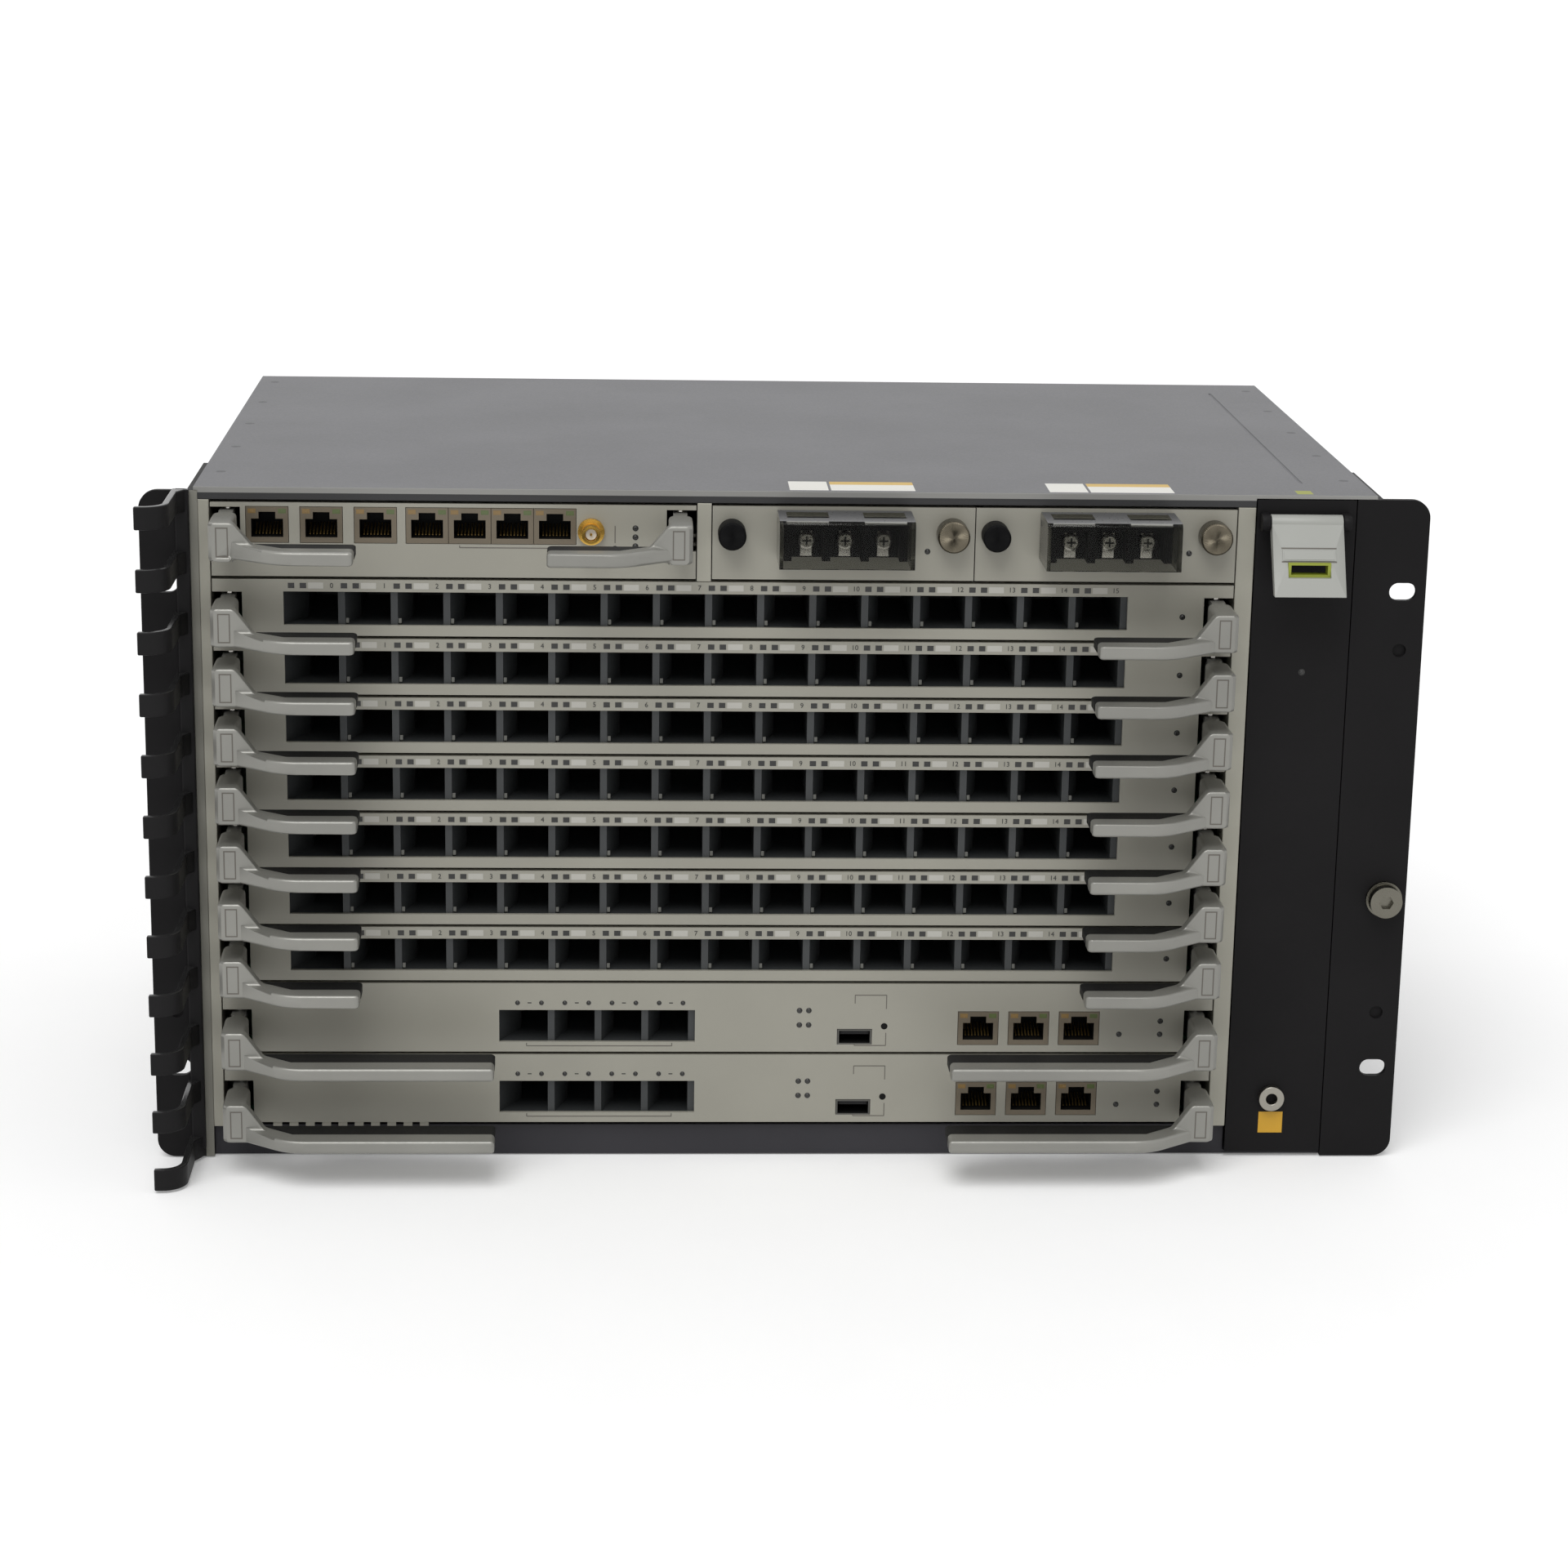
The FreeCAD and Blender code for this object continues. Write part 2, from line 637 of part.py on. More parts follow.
# Ejector lever on the left end of a card; the right one is its mirror image
def ejector_lever(x, z0, bar_lift, bar_length, hub_height):
    """Cast lever with a root, a hub, an arm and a pull bar, and the grip behind the bar."""
    y = FRONT + PIVOT_SETBACK

    def plan(points):
        return [(x + u, y - v) for u, v in points]
    bar_end = BAR_START + bar_length
    bar_rear = BAR_REACH - BAR_DEPTH
    slope = (BAR_REACH - HUB_REACH) / (BAR_START - HUB_HALF)
    arm_join = HUB_HALF + (bar_rear - ARM_START) / slope
    shoulder = ROOT_SHOULDER + HUB_HALF - ROOT_HALF
    nose = [(-HUB_HALF, shoulder), (-HUB_HALF, HUB_REACH - HUB_CORNER),
            (HUB_CORNER - HUB_HALF, HUB_REACH), (HUB_HALF, HUB_REACH)]
    arm = plan(nose + [(BAR_START, BAR_REACH), (bar_end, BAR_REACH), (bar_end, bar_rear),
                       (arm_join, bar_rear), (HUB_HALF, ARM_START), (HUB_HALF, shoulder)])
    bar_z = z0 + bar_lift
    bar_top = bar_z + BAR_HEIGHT
    body = plan_prism(arm, bar_z, bar_top)
    bends = [e for e in body.Edges if near(e, x + BAR_START, y - BAR_REACH)]
    body = body.makeFillet(BEND_RADIUS, bends)
    hub_top = z0 + hub_height
    hub = plan_prism(plan([(-ROOT_HALF, ROOT_SHOULDER)] + nose
                          + [(HUB_HALF, shoulder), (ROOT_HALF, ROOT_SHOULDER)]), z0, hub_top)
    ramp = front_prism([(x + HUB_HALF, bar_top), (x + HUB_HALF, hub_top),
                        (x + HUB_HALF + RAMP_LENGTH, bar_top)],
                       y - HUB_REACH, y - ARM_START - RAMP_LENGTH * slope)
    root_z = z0 - LEVER_RISE + ROOT_RISE
    root = plan_prism(plan([(-ROOT_HALF, -ROOT_HALF), (-ROOT_HALF, ROOT_SHOULDER),
                            (ROOT_HALF, ROOT_SHOULDER), (ROOT_HALF, -ROOT_HALF)]), root_z, hub_top)
    bore = rod(PIN_RADIUS + PIN_FIT, Vector(x, y, z0 - OVERCUT), Vector(x, y, hub_top + OVERCUT))
    cast = joined(body, hub, ramp, root).cut(bore)
    grip_rear = bar_rear - GRIP_DEPTH
    grip_left = HUB_HALF + (grip_rear - ARM_START) / slope
    grip = plan_prism(plan([(grip_left, grip_rear), (bar_end, grip_rear), (bar_end, bar_rear),
                            (arm_join, bar_rear)]),
                      bar_z + GRIP_DROP, bar_top - GRIP_DROP)
    return [cast, grip]


def save_levers(name, x0, x1, z0, bar_lift, bar_length, hub_height, suffix=""):
    left = ejector_lever(x0 + PIVOT_INSET, z0, bar_lift, bar_length, hub_height)
    save("%s_lever_left%s" % (name, suffix), *left)
    right = [mirror_x(solid, (x0 + x1) / 2) for solid in left]
    save("%s_lever_right%s" % (name, suffix), *right)


# Cards
def service_card(number):
    z0 = service_bottom(number)
    low = z0 + ROW_GAP / 2
    high = z0 + SERVICE_PITCH - ROW_GAP / 2
    board_z = z0 + BOARD_RISE
    bank_z = board_z + BOARD_THICK + BAY_PLATE
    bank_x = CARD_X0 + BANK_INSET
    window = through(bank_x, bank_end(bank_x, BAY_COUNT, BAY_PITCH),
                     bank_z, bank_z + SERVICE_BAY_HEIGHT)
    inner_low = low + FLANGE_THICK
    inner_high = high - FLANGE_THICK
    notches = lever_notches(CARD_X0, CARD_X1, inner_low, z0 + LEVER_RISE + SERVICE_HUB + ROW_GAP)
    front = card_front(CARD_X0, CARD_X1, low, high, [window] + notches)
    solids = [front, board(CARD_X0, CARD_X1, board_z)]
    solids += bay_bank(bank_x, BAY_COUNT, BAY_PITCH, bank_z, SERVICE_BAY_HEIGHT)
    solids += lever_pins(CARD_X0, CARD_X1, inner_low, inner_high)
    solids.append(plug((CARD_X0 + CARD_X1) / 2, PLUG_WIDTH, board_z))
    save("service_card_%d" % number, *solids)
    save_levers("service", CARD_X0, CARD_X1, z0 + LEVER_RISE, 0, BAR_LENGTH, SERVICE_HUB,
                "_%d" % number)


def control_card(number):
    z0 = control_bottom(number)
    low = z0 + ROW_GAP / 2
    high = z0 + CONTROL_PITCH - ROW_GAP / 2
    board_z = z0 + BOARD_RISE
    seat_z = board_z + BOARD_THICK
    bank_z = seat_z + BAY_PLATE
    jacks = [CONTROL_JACK_X + i * CONTROL_JACK_PITCH for i in range(CONTROL_JACKS)]
    half = USB_WIDTH / 2 + FIT / 2
    inner_low = low + FLANGE_THICK
    inner_high = high - FLANGE_THICK
    holes = [through(CONTROL_BANK_X, bank_end(CONTROL_BANK_X, CONTROL_BAY_COUNT, CONTROL_BAY_PITCH),
                     bank_z, bank_z + CONTROL_BAY_HEIGHT),
             through(USB_X - half, USB_X + half, seat_z, seat_z + USB_HEIGHT + FIT / 2)]
    holes += [jack_hole(x, seat_z) for x in jacks]
    holes += lever_notches(CARD_X0, CARD_X1, inner_low, z0 + LEVER_RISE + CONTROL_HUB + ROW_GAP)
    front = card_front(CARD_X0, CARD_X1, low, high, holes)
    solids = [front, board(CARD_X0, CARD_X1, board_z), usb_socket(seat_z)]
    solids += bay_bank(CONTROL_BANK_X, CONTROL_BAY_COUNT, CONTROL_BAY_PITCH, bank_z,
                       CONTROL_BAY_HEIGHT)
    solids += [network_jack(x, seat_z) for x in jacks]
    solids += lever_pins(CARD_X0, CARD_X1, inner_low, inner_high)
    solids.append(plug((CARD_X0 + CARD_X1) / 2, PLUG_WIDTH, board_z))
    save("control_card_%d" % number, *solids)
    save_levers("control", CARD_X0, CARD_X1, z0 + LEVER_RISE, 0, CONTROL_BAR_LENGTH, CONTROL_HUB,
                "_%d" % number)


def interface_card():
    low = TOP_ROW_Z + ROW_GAP / 2
    high = TOP_ROW_Z + TOP_ROW - ROW_GAP / 2
    board_z = TOP_ROW_Z + JACK_BOARD_RISE
    seat_z = board_z + BOARD_THICK
    jacks = [SINGLE_JACK_X + i * SINGLE_JACK_PITCH for i in range(SINGLE_JACKS)]
    jacks += [GANG_JACK_X + i * GANG_JACK_PITCH for i in range(GANG_JACKS)]
    inner_low = low + FLANGE_THICK
    inner_high = high - FLANGE_THICK
    coax_z = seat_z + COAX_FLANGE_RADIUS
    lever_z = TOP_ROW_Z + INTERFACE_LEVER_RISE
    coax_hole = rod(COAX_RADIUS + FIT / 2, Vector(COAX_X, FRONT - OVERCUT, coax_z),
                    Vector(COAX_X, FRONT + PANEL_THICK + OVERCUT, coax_z))
    holes = [jack_hole(x, seat_z) for x in jacks] + [coax_hole]
    holes += lever_notches(CARD_X0, INTERFACE_X1, lever_z, lever_z + INTERFACE_HUB + ROW_GAP)
    front = card_front(CARD_X0, INTERFACE_X1, low, high, holes)
    solids = [front, board(CARD_X0, INTERFACE_X1, board_z), coax_socket(coax_z)]
    solids += [network_jack(x, seat_z) for x in jacks]
    solids += lever_pins(CARD_X0, INTERFACE_X1, inner_low, inner_high)
    solids.append(plug((CARD_X0 + INTERFACE_X1) / 2, POWER_PLUG_WIDTH, board_z))
    save("interface_card", *solids)
    save_levers("interface", CARD_X0, INTERFACE_X1, lever_z, INTERFACE_BAR_LIFT, BAR_LENGTH,
                INTERFACE_HUB)


# Power cards
def knob_screw(x, z, radius, length):
    """Captive screw turned from one bar: a chamfered head and the stud through the panel."""
    seat = FRONT - PIN_FIT
    profile = [(0, FRONT - length), (radius - KNOB_CHAMFER, FRONT - length),
               (radius, FRONT - length + KNOB_CHAMFER), (radius, seat), (STUD_RADIUS, seat),
               (STUD_RADIUS, FRONT + STUD_LENGTH), (0, FRONT + STUD_LENGTH)]
    face = loop_face([(x + r, y) for r, y in profile], in_plan(z))
    return face.revolve(Vector(x, 0, z), Vector(0, 1, 0), 360)


def terminal_block(x, z0):
    """Block with three bays, cut away behind the hinge so that the cover can swing up."""
    half = BLOCK_WIDTH / 2
    face = FRONT - BLOCK_DEPTH
    top = z0 + BLOCK_HEIGHT
    axis_y, axis_z = cover_axis(z0)
    shelf = axis_z - COVER_AXIS
    body = side_prism([(face, z0), (FRONT, z0), (FRONT, shelf), (axis_y, shelf), (axis_y, top),
                       (face, top)], x - half, x + half)
    barrel = rod(HINGE_DROP, Vector(x - half, axis_y, axis_z), Vector(x + half, axis_y, axis_z))
    outer = half + COVER_FIT + COVER_WALL
    pin = rod(HINGE_PIN, Vector(x - outer, axis_y, axis_z), Vector(x + outer, axis_y, axis_z))
    bay = (BLOCK_WIDTH - 4 * BARRIER_THICK) / 3
    cuts = []
    for number in range(3):
        left = x - half + BARRIER_THICK + number * (bay + BARRIER_THICK)
        cuts.append(block(left, left + bay, face - OVERCUT, face + BARRIER_CUT,
                          z0 - OVERCUT, top - BARRIER_THICK))
    return joined(body.cut(cuts), barrel, pin)


def cover_axis(z0):
    return FRONT - COVER_AXIS, z0 + BLOCK_HEIGHT - HINGE_DROP


def terminal_cover(x, z0):
    """Clear cover open at the back and below, slotted above, hung on the pin through the block."""
    axis_y, axis_z = cover_axis(z0)
    half = BLOCK_WIDTH / 2 + COVER_FIT + COVER_WALL
    ceiling = z0 + BLOCK_HEIGHT + COVER_FIT
    top = ceiling + COVER_WALL
    low = z0 - COVER_DROP
    face = FRONT - COVER_DEPTH
    rear = FRONT - COVER_FIT
    swing = rear - axis_y
    lid_rear = axis_y + math.sqrt(swing ** 2 - (top - axis_z) ** 2)
    middle = math.atan2(top - axis_z, lid_rear - axis_y) / 2
    place = in_side(x - half)
    curve = Part.Arc(place(rear, axis_z),
                     place(axis_y + swing * math.cos(middle), axis_z + swing * math.sin(middle)),
                     place(lid_rear, top)).toShape()
    outline = Part.makePolygon([place(lid_rear, top), place(face, top), place(face, low),
                                place(rear, low), place(rear, axis_z)])
    shell = Part.Face(Part.Wire([curve] + outline.Edges)).extrude(Vector(2 * half, 0, 0))
    brow = [e for e in shell.Edges if abs(e.CenterOfMass.y - face) < 0.01
            and abs(e.CenterOfMass.z - top) < 0.01]
    shell = shell.makeFillet(COVER_CORNER, brow)
    hollow = block(x - half + COVER_WALL, x + half - COVER_WALL, face + COVER_WALL, FRONT + OVERCUT,
                   low - OVERCUT, ceiling)
    bore = rod(HINGE_PIN + PIN_FIT, Vector(x - half - OVERCUT, axis_y, axis_z),
               Vector(x + half + OVERCUT, axis_y, axis_z))
    slot_rear = FRONT - COVER_SLOT_BACK
    slots = []
    for left in (x - half + COVER_SLOT_SIDE, x + half - COVER_SLOT_SIDE - COVER_SLOT_WIDTH):
        slots.append(block(left, left + COVER_SLOT_WIDTH, slot_rear - COVER_SLOT_LENGTH, slot_rear,
                           ceiling - OVERCUT, top + OVERCUT))
    return shell.cut([hollow, bore] + slots)


def power_card(number):
    x0 = POWER_X0 + (number - 1) * (POWER_WIDTH + FIT)
    x1 = x0 + POWER_WIDTH
    low = TOP_ROW_Z + ROW_GAP / 2
    high = TOP_ROW_Z + TOP_ROW - ROW_GAP / 2
    board_z = TOP_ROW_Z + BOARD_RISE
    block_x = x0 + BLOCK_INSET + BLOCK_WIDTH / 2
    block_z = TOP_ROW_Z + BLOCK_RISE
    screw_z = TOP_ROW_Z + KNOB_RISE
    knobs = [x0 + KNOB_INSET, x1 - BRIGHT_INSET]
    holes = [rod(STUD_RADIUS + PIN_FIT, Vector(x, FRONT - OVERCUT, screw_z),
                 Vector(x, FRONT + FLANGE, screw_z)) for x in knobs]
    front = card_front(x0, x1, low, high, holes)
    save("power_card_%d" % number, front, board(x0, x1, board_z), terminal_block(block_x, block_z),
         plug((x0 + x1) / 2, POWER_PLUG_WIDTH, board_z))
    save("terminal_cover_%d" % number, terminal_cover(block_x, block_z))
    save("black_knob_%d" % number, knob_screw(knobs[0], screw_z, KNOB_RADIUS, KNOB_LENGTH))
    save("bright_knob_%d" % number, knob_screw(knobs[1], screw_z, BRIGHT_RADIUS, BRIGHT_LENGTH))


# Fan tray
def fan_centres():
    """Middle of each fan in Y and Z."""
    tray_rear = BACK - SHEET - TRAY_BACK_GAP
    middle = (FRONT + PANEL_THICK + tray_rear) / 2
    centres = []
    for column in range(FAN_COLUMNS):
        for row in range(FAN_ROWS):
            centres.append((middle + (column - (FAN_COLUMNS - 1) / 2) * FAN_SIZE,
                            HEIGHT / 2 + (row - (FAN_ROWS - 1) / 2) * FAN_SIZE))
    return centres


def tray_floor():
    return SHEET + RAIL_FIT


def tray_top():
    return INNER_TOP - RAIL_FIT


def fan_plate_x():
    return FAN_X0 + TRAY_INSET


def fan_tray():
    """Front panel, a frame round the fans and the plate that they are fixed to."""
    low = tray_floor()
    high = tray_top()
    x0 = fan_plate_x()
    x1 = FAN_X1 - TRAY_INSET
    rear = BACK - SHEET - TRAY_BACK_GAP
    panel = block(FAN_X0, FAN_X1, FRONT, FRONT + PANEL_THICK, low, high)
    frame = block(x0, x1, FRONT + PANEL_THICK, rear, low, high)
    frame = frame.cut(block(x0 + TRAY_WALL, x1 + OVERCUT, FRONT + PANEL_THICK, rear - TRAY_WALL,
                            low + TRAY_WALL, high - TRAY_WALL))
    tray = joined(panel, frame, *handle_lugs())
    return tray.cut([fan_opening(y, z, x0 - OVERCUT, x0 + TRAY_WALL + OVERCUT) for y, z in fan_centres()])


def fan_opening(y, z, x0, x1):
    """Square opening with its corners cut off, left for the screws."""
    edge = FAN_BORE
    cut = FAN_BORE * math.tan(math.pi / 8)
    ring = [(edge, cut), (cut, edge), (-cut, edge), (-edge, cut),
            (-edge, -cut), (-cut, -edge), (cut, -edge), (edge, -cut)]
    return side_prism([(y + a, z + b) for a, b in ring], x0, x1)


def handle_axis():
    return FRONT - HANDLE_AXIS, tray_top() - HANDLE_TOP_DROP


def handle_span():
    x0 = FAN_X0 + HANDLE_INSET
    return x0, x0 + HANDLE_WIDTH


def handle_lugs():
    """Two lugs on the panel and the pin between them that the handle swings on."""
    axis_y, axis_z = handle_axis()
    x0, x1 = handle_span()
    lugs = []
    for low, high in ((x0 - FIT - LUG_THICK, x0 - FIT), (x1 + FIT, x1 + FIT + LUG_THICK)):
        lugs.append(block(low, high, axis_y, FRONT, axis_z - HANDLE_BARREL, axis_z + HANDLE_BARREL))
        lugs.append(rod(HANDLE_BARREL, Vector(low, axis_y, axis_z), Vector(high, axis_y, axis_z)))
    lugs.append(rod(PIN_RADIUS, Vector(x0 - FIT, axis_y, axis_z), Vector(x1 + FIT, axis_y, axis_z)))
    return lugs


def fan_handle():
    """Pull that leans forward from its hinge barrel, with a finger slot near its lower edge."""
    axis_y, axis_z = handle_axis()
    x0, x1 = handle_span()
    low = axis_z - HANDLE_HEIGHT
    lean = HANDLE_REACH - HANDLE_AXIS
    leaf = side_prism([(axis_y - HANDLE_BARREL, axis_z), (axis_y - lean, low),
                       (axis_y - lean + HANDLE_THICK, low), (axis_y, axis_z - HANDLE_BARREL),
                       (axis_y, axis_z)], x0, x1)
    barrel = rod(HANDLE_BARREL, Vector(x0, axis_y, axis_z), Vector(x1, axis_y, axis_z))
    middle = (x0 + x1) / 2
    slot = block(middle - HANDLE_SLOT_WIDTH / 2, middle + HANDLE_SLOT_WIDTH / 2,
                 FRONT - HANDLE_REACH - HANDLE_BARREL, FRONT,
                 low + HANDLE_SLOT_RISE, low + HANDLE_SLOT_RISE + HANDLE_SLOT_HEIGHT)
    bore = rod(PIN_RADIUS + PIN_FIT, Vector(x0 - OVERCUT, axis_y, axis_z),
               Vector(x1 + OVERCUT, axis_y, axis_z))
    return joined(leaf, barrel).cut(slot).cut(bore)


def strap_jack():
    start = Vector(STRAP_JACK_X, FRONT - STRAP_JACK_REACH, STRAP_JACK_RISE)
    end = Vector(STRAP_JACK_X, FRONT, STRAP_JACK_RISE)
    return rod(STRAP_JACK_RADIUS, start, end).cut(rod(STRAP_JACK_BORE, start, end))


def fan_frame(y, z):
    x0 = fan_plate_x() + TRAY_WALL
    x1 = x0 + FAN_THICK
    half = FAN_SIZE / 2

    def disc(radius, start, end):
        return rod(radius, Vector(start, y, z), Vector(end, y, z))
    ring = block(x0, x1, y - half, y + half, z - half, z + half)
    ring = ring.cut(disc(FAN_BORE, x0 - OVERCUT, x1 + OVERCUT))
    motor_x = x1 - MOTOR_THICK
    motor = disc(MOTOR_RADIUS, motor_x, x1)
    shaft = disc(SHAFT_RADIUS, motor_x - SHAFT_LENGTH, motor_x)
    strut = block(motor_x, x1, y - half, y + half,
                  z - STRUT_WIDTH / 2, z + STRUT_WIDTH / 2)
    return joined(ring, motor, shaft, strut)


def fan_blade(x, y, z):
    """Pitched blade along +Y that widens to its tip, where it is as deep as the hub."""
    chord = (ROTOR_DEPTH - BLADE_THICK) / math.sin(math.radians(BLADE_PITCH))
    sunk = ROTOR_HUB - BLADE_THICK
    corners = [(sunk, BLADE_ROOT / 2), (ROTOR_TIP, chord / 2),
               (ROTOR_TIP, -chord / 2), (sunk, -BLADE_ROOT / 2)]
    face = loop_face(corners, lambda radius, along: Vector(x - BLADE_THICK / 2, y + radius, z + along))
    blade = face.extrude(Vector(BLADE_THICK, 0, 0))
    blade.rotate(Vector(x, y, z), Vector(0, 1, 0), BLADE_PITCH)
    return blade


def fan_rotor(y, z):
    x1 = fan_plate_x() + TRAY_WALL + FAN_THICK - MOTOR_THICK - FIT
    x0 = x1 - ROTOR_DEPTH
    hub = rod(ROTOR_HUB, Vector(x0, y, z), Vector(x1, y, z))
    bore = rod(SHAFT_RADIUS + PIN_FIT, Vector(x0 + ROTOR_WALL, y, z), Vector(x1, y, z))
    blade = fan_blade((x0 + x1) / 2, y, z)
    blades = []
    for number in range(BLADE_COUNT):
        copy = blade.copy()
        copy.rotate(Vector(x0, y, z), Vector(1, 0, 0), 360 * number / BLADE_COUNT)
        blades.append(copy)
    return joined(hub, *blades).cut(bore)


def build():
    os.makedirs("parts", exist_ok=True)
    wall = left_wall()
    save("left_wall", wall)
    save("right_wall", mirror_x(wall, 0))
    save("base_plate", base_plate())
    save("rear_plate", rear_plate())
    save("top_cover", top_cover())
    save("backplane", *backplane())
    save("card_guide_left", *card_guide(INNER_LEFT, INNER_LEFT + POST_LEFT, CARD_X0 + EDGE_INSET))
    save("card_guide_right", *card_guide(POST_X1, POST_X0, CARD_X1 - EDGE_INSET))
    save("top_row_divider", top_row_divider())
    save("rack_ear_right", rack_ear(STRIP_X))
    save("rack_ear_left", mirror_x(rack_ear(INNER_RIGHT), 0))
    save("cable_comb", cable_comb())
    save("ground_screw", ground_screw())
    for number in range(SERVICE_COUNT):
        service_card(number + 1)
    for number in range(CONTROL_COUNT):
        control_card(number + 1)
    interface_card()
    power_card(1)
    power_card(2)
    save("fan_tray", fan_tray())
    save("fan_handle", fan_handle())
    save("wrist_strap_jack", strap_jack())
    save("fan_frames", *[fan_frame(y, z) for y, z in fan_centres()])
    for number, (y, z) in enumerate(fan_centres()):
        save("fan_rotor_%d" % (number + 1), fan_rotor(y, z))


build()
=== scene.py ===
import bmesh
import bpy
import json
import math
from mathutils import Matrix, Vector


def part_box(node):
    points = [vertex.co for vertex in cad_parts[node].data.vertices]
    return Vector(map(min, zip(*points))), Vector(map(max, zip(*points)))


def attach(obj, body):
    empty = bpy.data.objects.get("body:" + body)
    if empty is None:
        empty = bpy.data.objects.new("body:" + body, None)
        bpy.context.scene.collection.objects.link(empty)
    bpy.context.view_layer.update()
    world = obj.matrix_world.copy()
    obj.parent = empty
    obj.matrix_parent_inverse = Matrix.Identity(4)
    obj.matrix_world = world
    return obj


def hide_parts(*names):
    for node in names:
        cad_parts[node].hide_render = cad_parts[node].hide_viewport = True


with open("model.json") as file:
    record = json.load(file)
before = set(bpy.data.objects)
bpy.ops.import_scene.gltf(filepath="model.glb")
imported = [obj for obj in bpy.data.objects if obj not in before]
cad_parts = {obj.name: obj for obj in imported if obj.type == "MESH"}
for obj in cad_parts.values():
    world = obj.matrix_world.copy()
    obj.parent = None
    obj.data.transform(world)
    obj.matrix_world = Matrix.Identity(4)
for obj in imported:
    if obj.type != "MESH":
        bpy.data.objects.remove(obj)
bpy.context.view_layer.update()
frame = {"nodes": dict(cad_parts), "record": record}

# Blender works in metres; sizes below are in millimetres and are multiplied by MM
MM = 0.001

# Places taken from the frame, FRONT and TOP in metres
NODES = sorted(frame["nodes"])
SERVICE = [n for n in NODES if n.startswith("service_card")]
CONTROL = [n for n in NODES if n.startswith("control_card")]
POWER = [n for n in NODES if n.startswith("power_card")]
LEVERS = [n for n in NODES if "_lever_" in n]
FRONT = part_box("service_card_1")[0].y
FRONT_MM = FRONT / MM
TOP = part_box("top_cover")[1].z

# Camera, matched to the photograph
CAMERA_PLACE = Vector((-65.4, -1438.7, 505.5)) * MM
CAMERA_PITCH = 74.81
CAMERA_YAW = -2.85
CAMERA_ROLL = 0.99
CAMERA_LENS = 81.62


# Shader nodes
RAMP_PLACES = (0.35, 0.65)
CLOUD_SCALE = 18
CLOUD_DETAIL = 4
GRAIN_DETAIL = 2
GLOSS_SPREAD = 0.08
GRAIN_STRENGTH = 0.5
RIB_HEIGHT = 0.4
RIB_STRENGTH = 0.6
KNOB_CLOUD = 300
KNOB_SHADE = 0.8
SMOKE_CLOUD = 30
SMOKE_SHADE = 0.85
SMOKE_GLOSS = (0.04, 0.12)
SMOKE_IOR = 1.16
TRACK_SCALE = 60
TRACK_WIDTH = 0.03
BOARD_GLOSS = (0.35, 0.5)
PLASTIC_DETAIL = 3


def maths(tree, operation, *values):
    """Math node whose inputs are sockets or numbers."""
    node = tree.nodes.new("ShaderNodeMath")
    node.operation = operation
    for socket, value in zip(node.inputs, values):
        if isinstance(value, (int, float)):
            socket.default_value = value
        else:
            tree.links.new(value, socket)
    return node.outputs["Value"]


def shader(name):
    """New material with its node tree and its shader."""
    material = bpy.data.materials.new(name)
    material.use_nodes = True
    tree = material.node_tree
    return material, tree, tree.nodes["Principled BSDF"]


def surface_noise(tree, scale, detail):
    """Noise that sits still on the surface."""
    place = tree.nodes.new("ShaderNodeTexCoord")
    noise = tree.nodes.new("ShaderNodeTexNoise")
    noise.inputs["Scale"].default_value = scale
    noise.inputs["Detail"].default_value = detail
    tree.links.new(place.outputs["Object"], noise.inputs["Vector"])
    return noise.outputs["Fac"]


def two_tone(tree, factor, dark, light):
    """Colour between two shades, by a factor."""
    ramp = tree.nodes.new("ShaderNodeValToRGB")
    for stop, place, colour in zip(ramp.color_ramp.elements, RAMP_PLACES, (dark, light)):
        stop.position = place
        stop.color = (*colour, 1)
    tree.links.new(factor, ramp.inputs["Fac"])
    return ramp.outputs["Color"]


def spread(tree, factor, low, high):
    """Factor from 0 to 1 stretched to run from low to high."""
    node = tree.nodes.new("ShaderNodeMapRange")
    node.inputs["To Min"].default_value = low
    node.inputs["To Max"].default_value = high
    tree.links.new(factor, node.inputs["Value"])
    return node.outputs["Result"]


def uneven_gloss(tree, bsdf, factor, roughness):
    gloss = spread(tree, factor, roughness - GLOSS_SPREAD, roughness + GLOSS_SPREAD)
    tree.links.new(gloss, bsdf.inputs["Roughness"])


def bump(tree, bsdf, factor, height, strength):
    node = tree.nodes.new("ShaderNodeBump")
    node.inputs["Distance"].default_value = height * MM
    node.inputs["Strength"].default_value = strength
    tree.links.new(factor, node.inputs["Height"])
    tree.links.new(node.outputs["Normal"], bsdf.inputs["Normal"])


def axes(tree):
    """Distances along X, Y and Z, as sockets."""
    place = tree.nodes.new("ShaderNodeTexCoord")
    split = tree.nodes.new("ShaderNodeSeparateXYZ")
    tree.links.new(place.outputs["Object"], split.inputs["Vector"])
    return split.outputs["X"], split.outputs["Y"], split.outputs["Z"]


def near(tree, value, middle, reach):
    """1 where a distance is within reach of middle, else 0."""
    return maths(tree, "COMPARE", value, middle * MM, reach * MM)


def within(tree, u, v, bounds):
    """1 inside bounds = (u0, u1, v0, v1), else 0."""
    u0, u1, v0, v1 = bounds
    across = near(tree, u, (u0 + u1) / 2, (u1 - u0) / 2)
    along = near(tree, v, (v0 + v1) / 2, (v1 - v0) / 2)
    return maths(tree, "MULTIPLY", across, along)


def spots(tree, u, v, radius):
    """1 inside a circle where u and v are both zero, else 0."""
    square = maths(tree, "ADD", maths(tree, "MULTIPLY", u, u), maths(tree, "MULTIPLY", v, v))
    return maths(tree, "LESS_THAN", square, (radius * MM) ** 2)


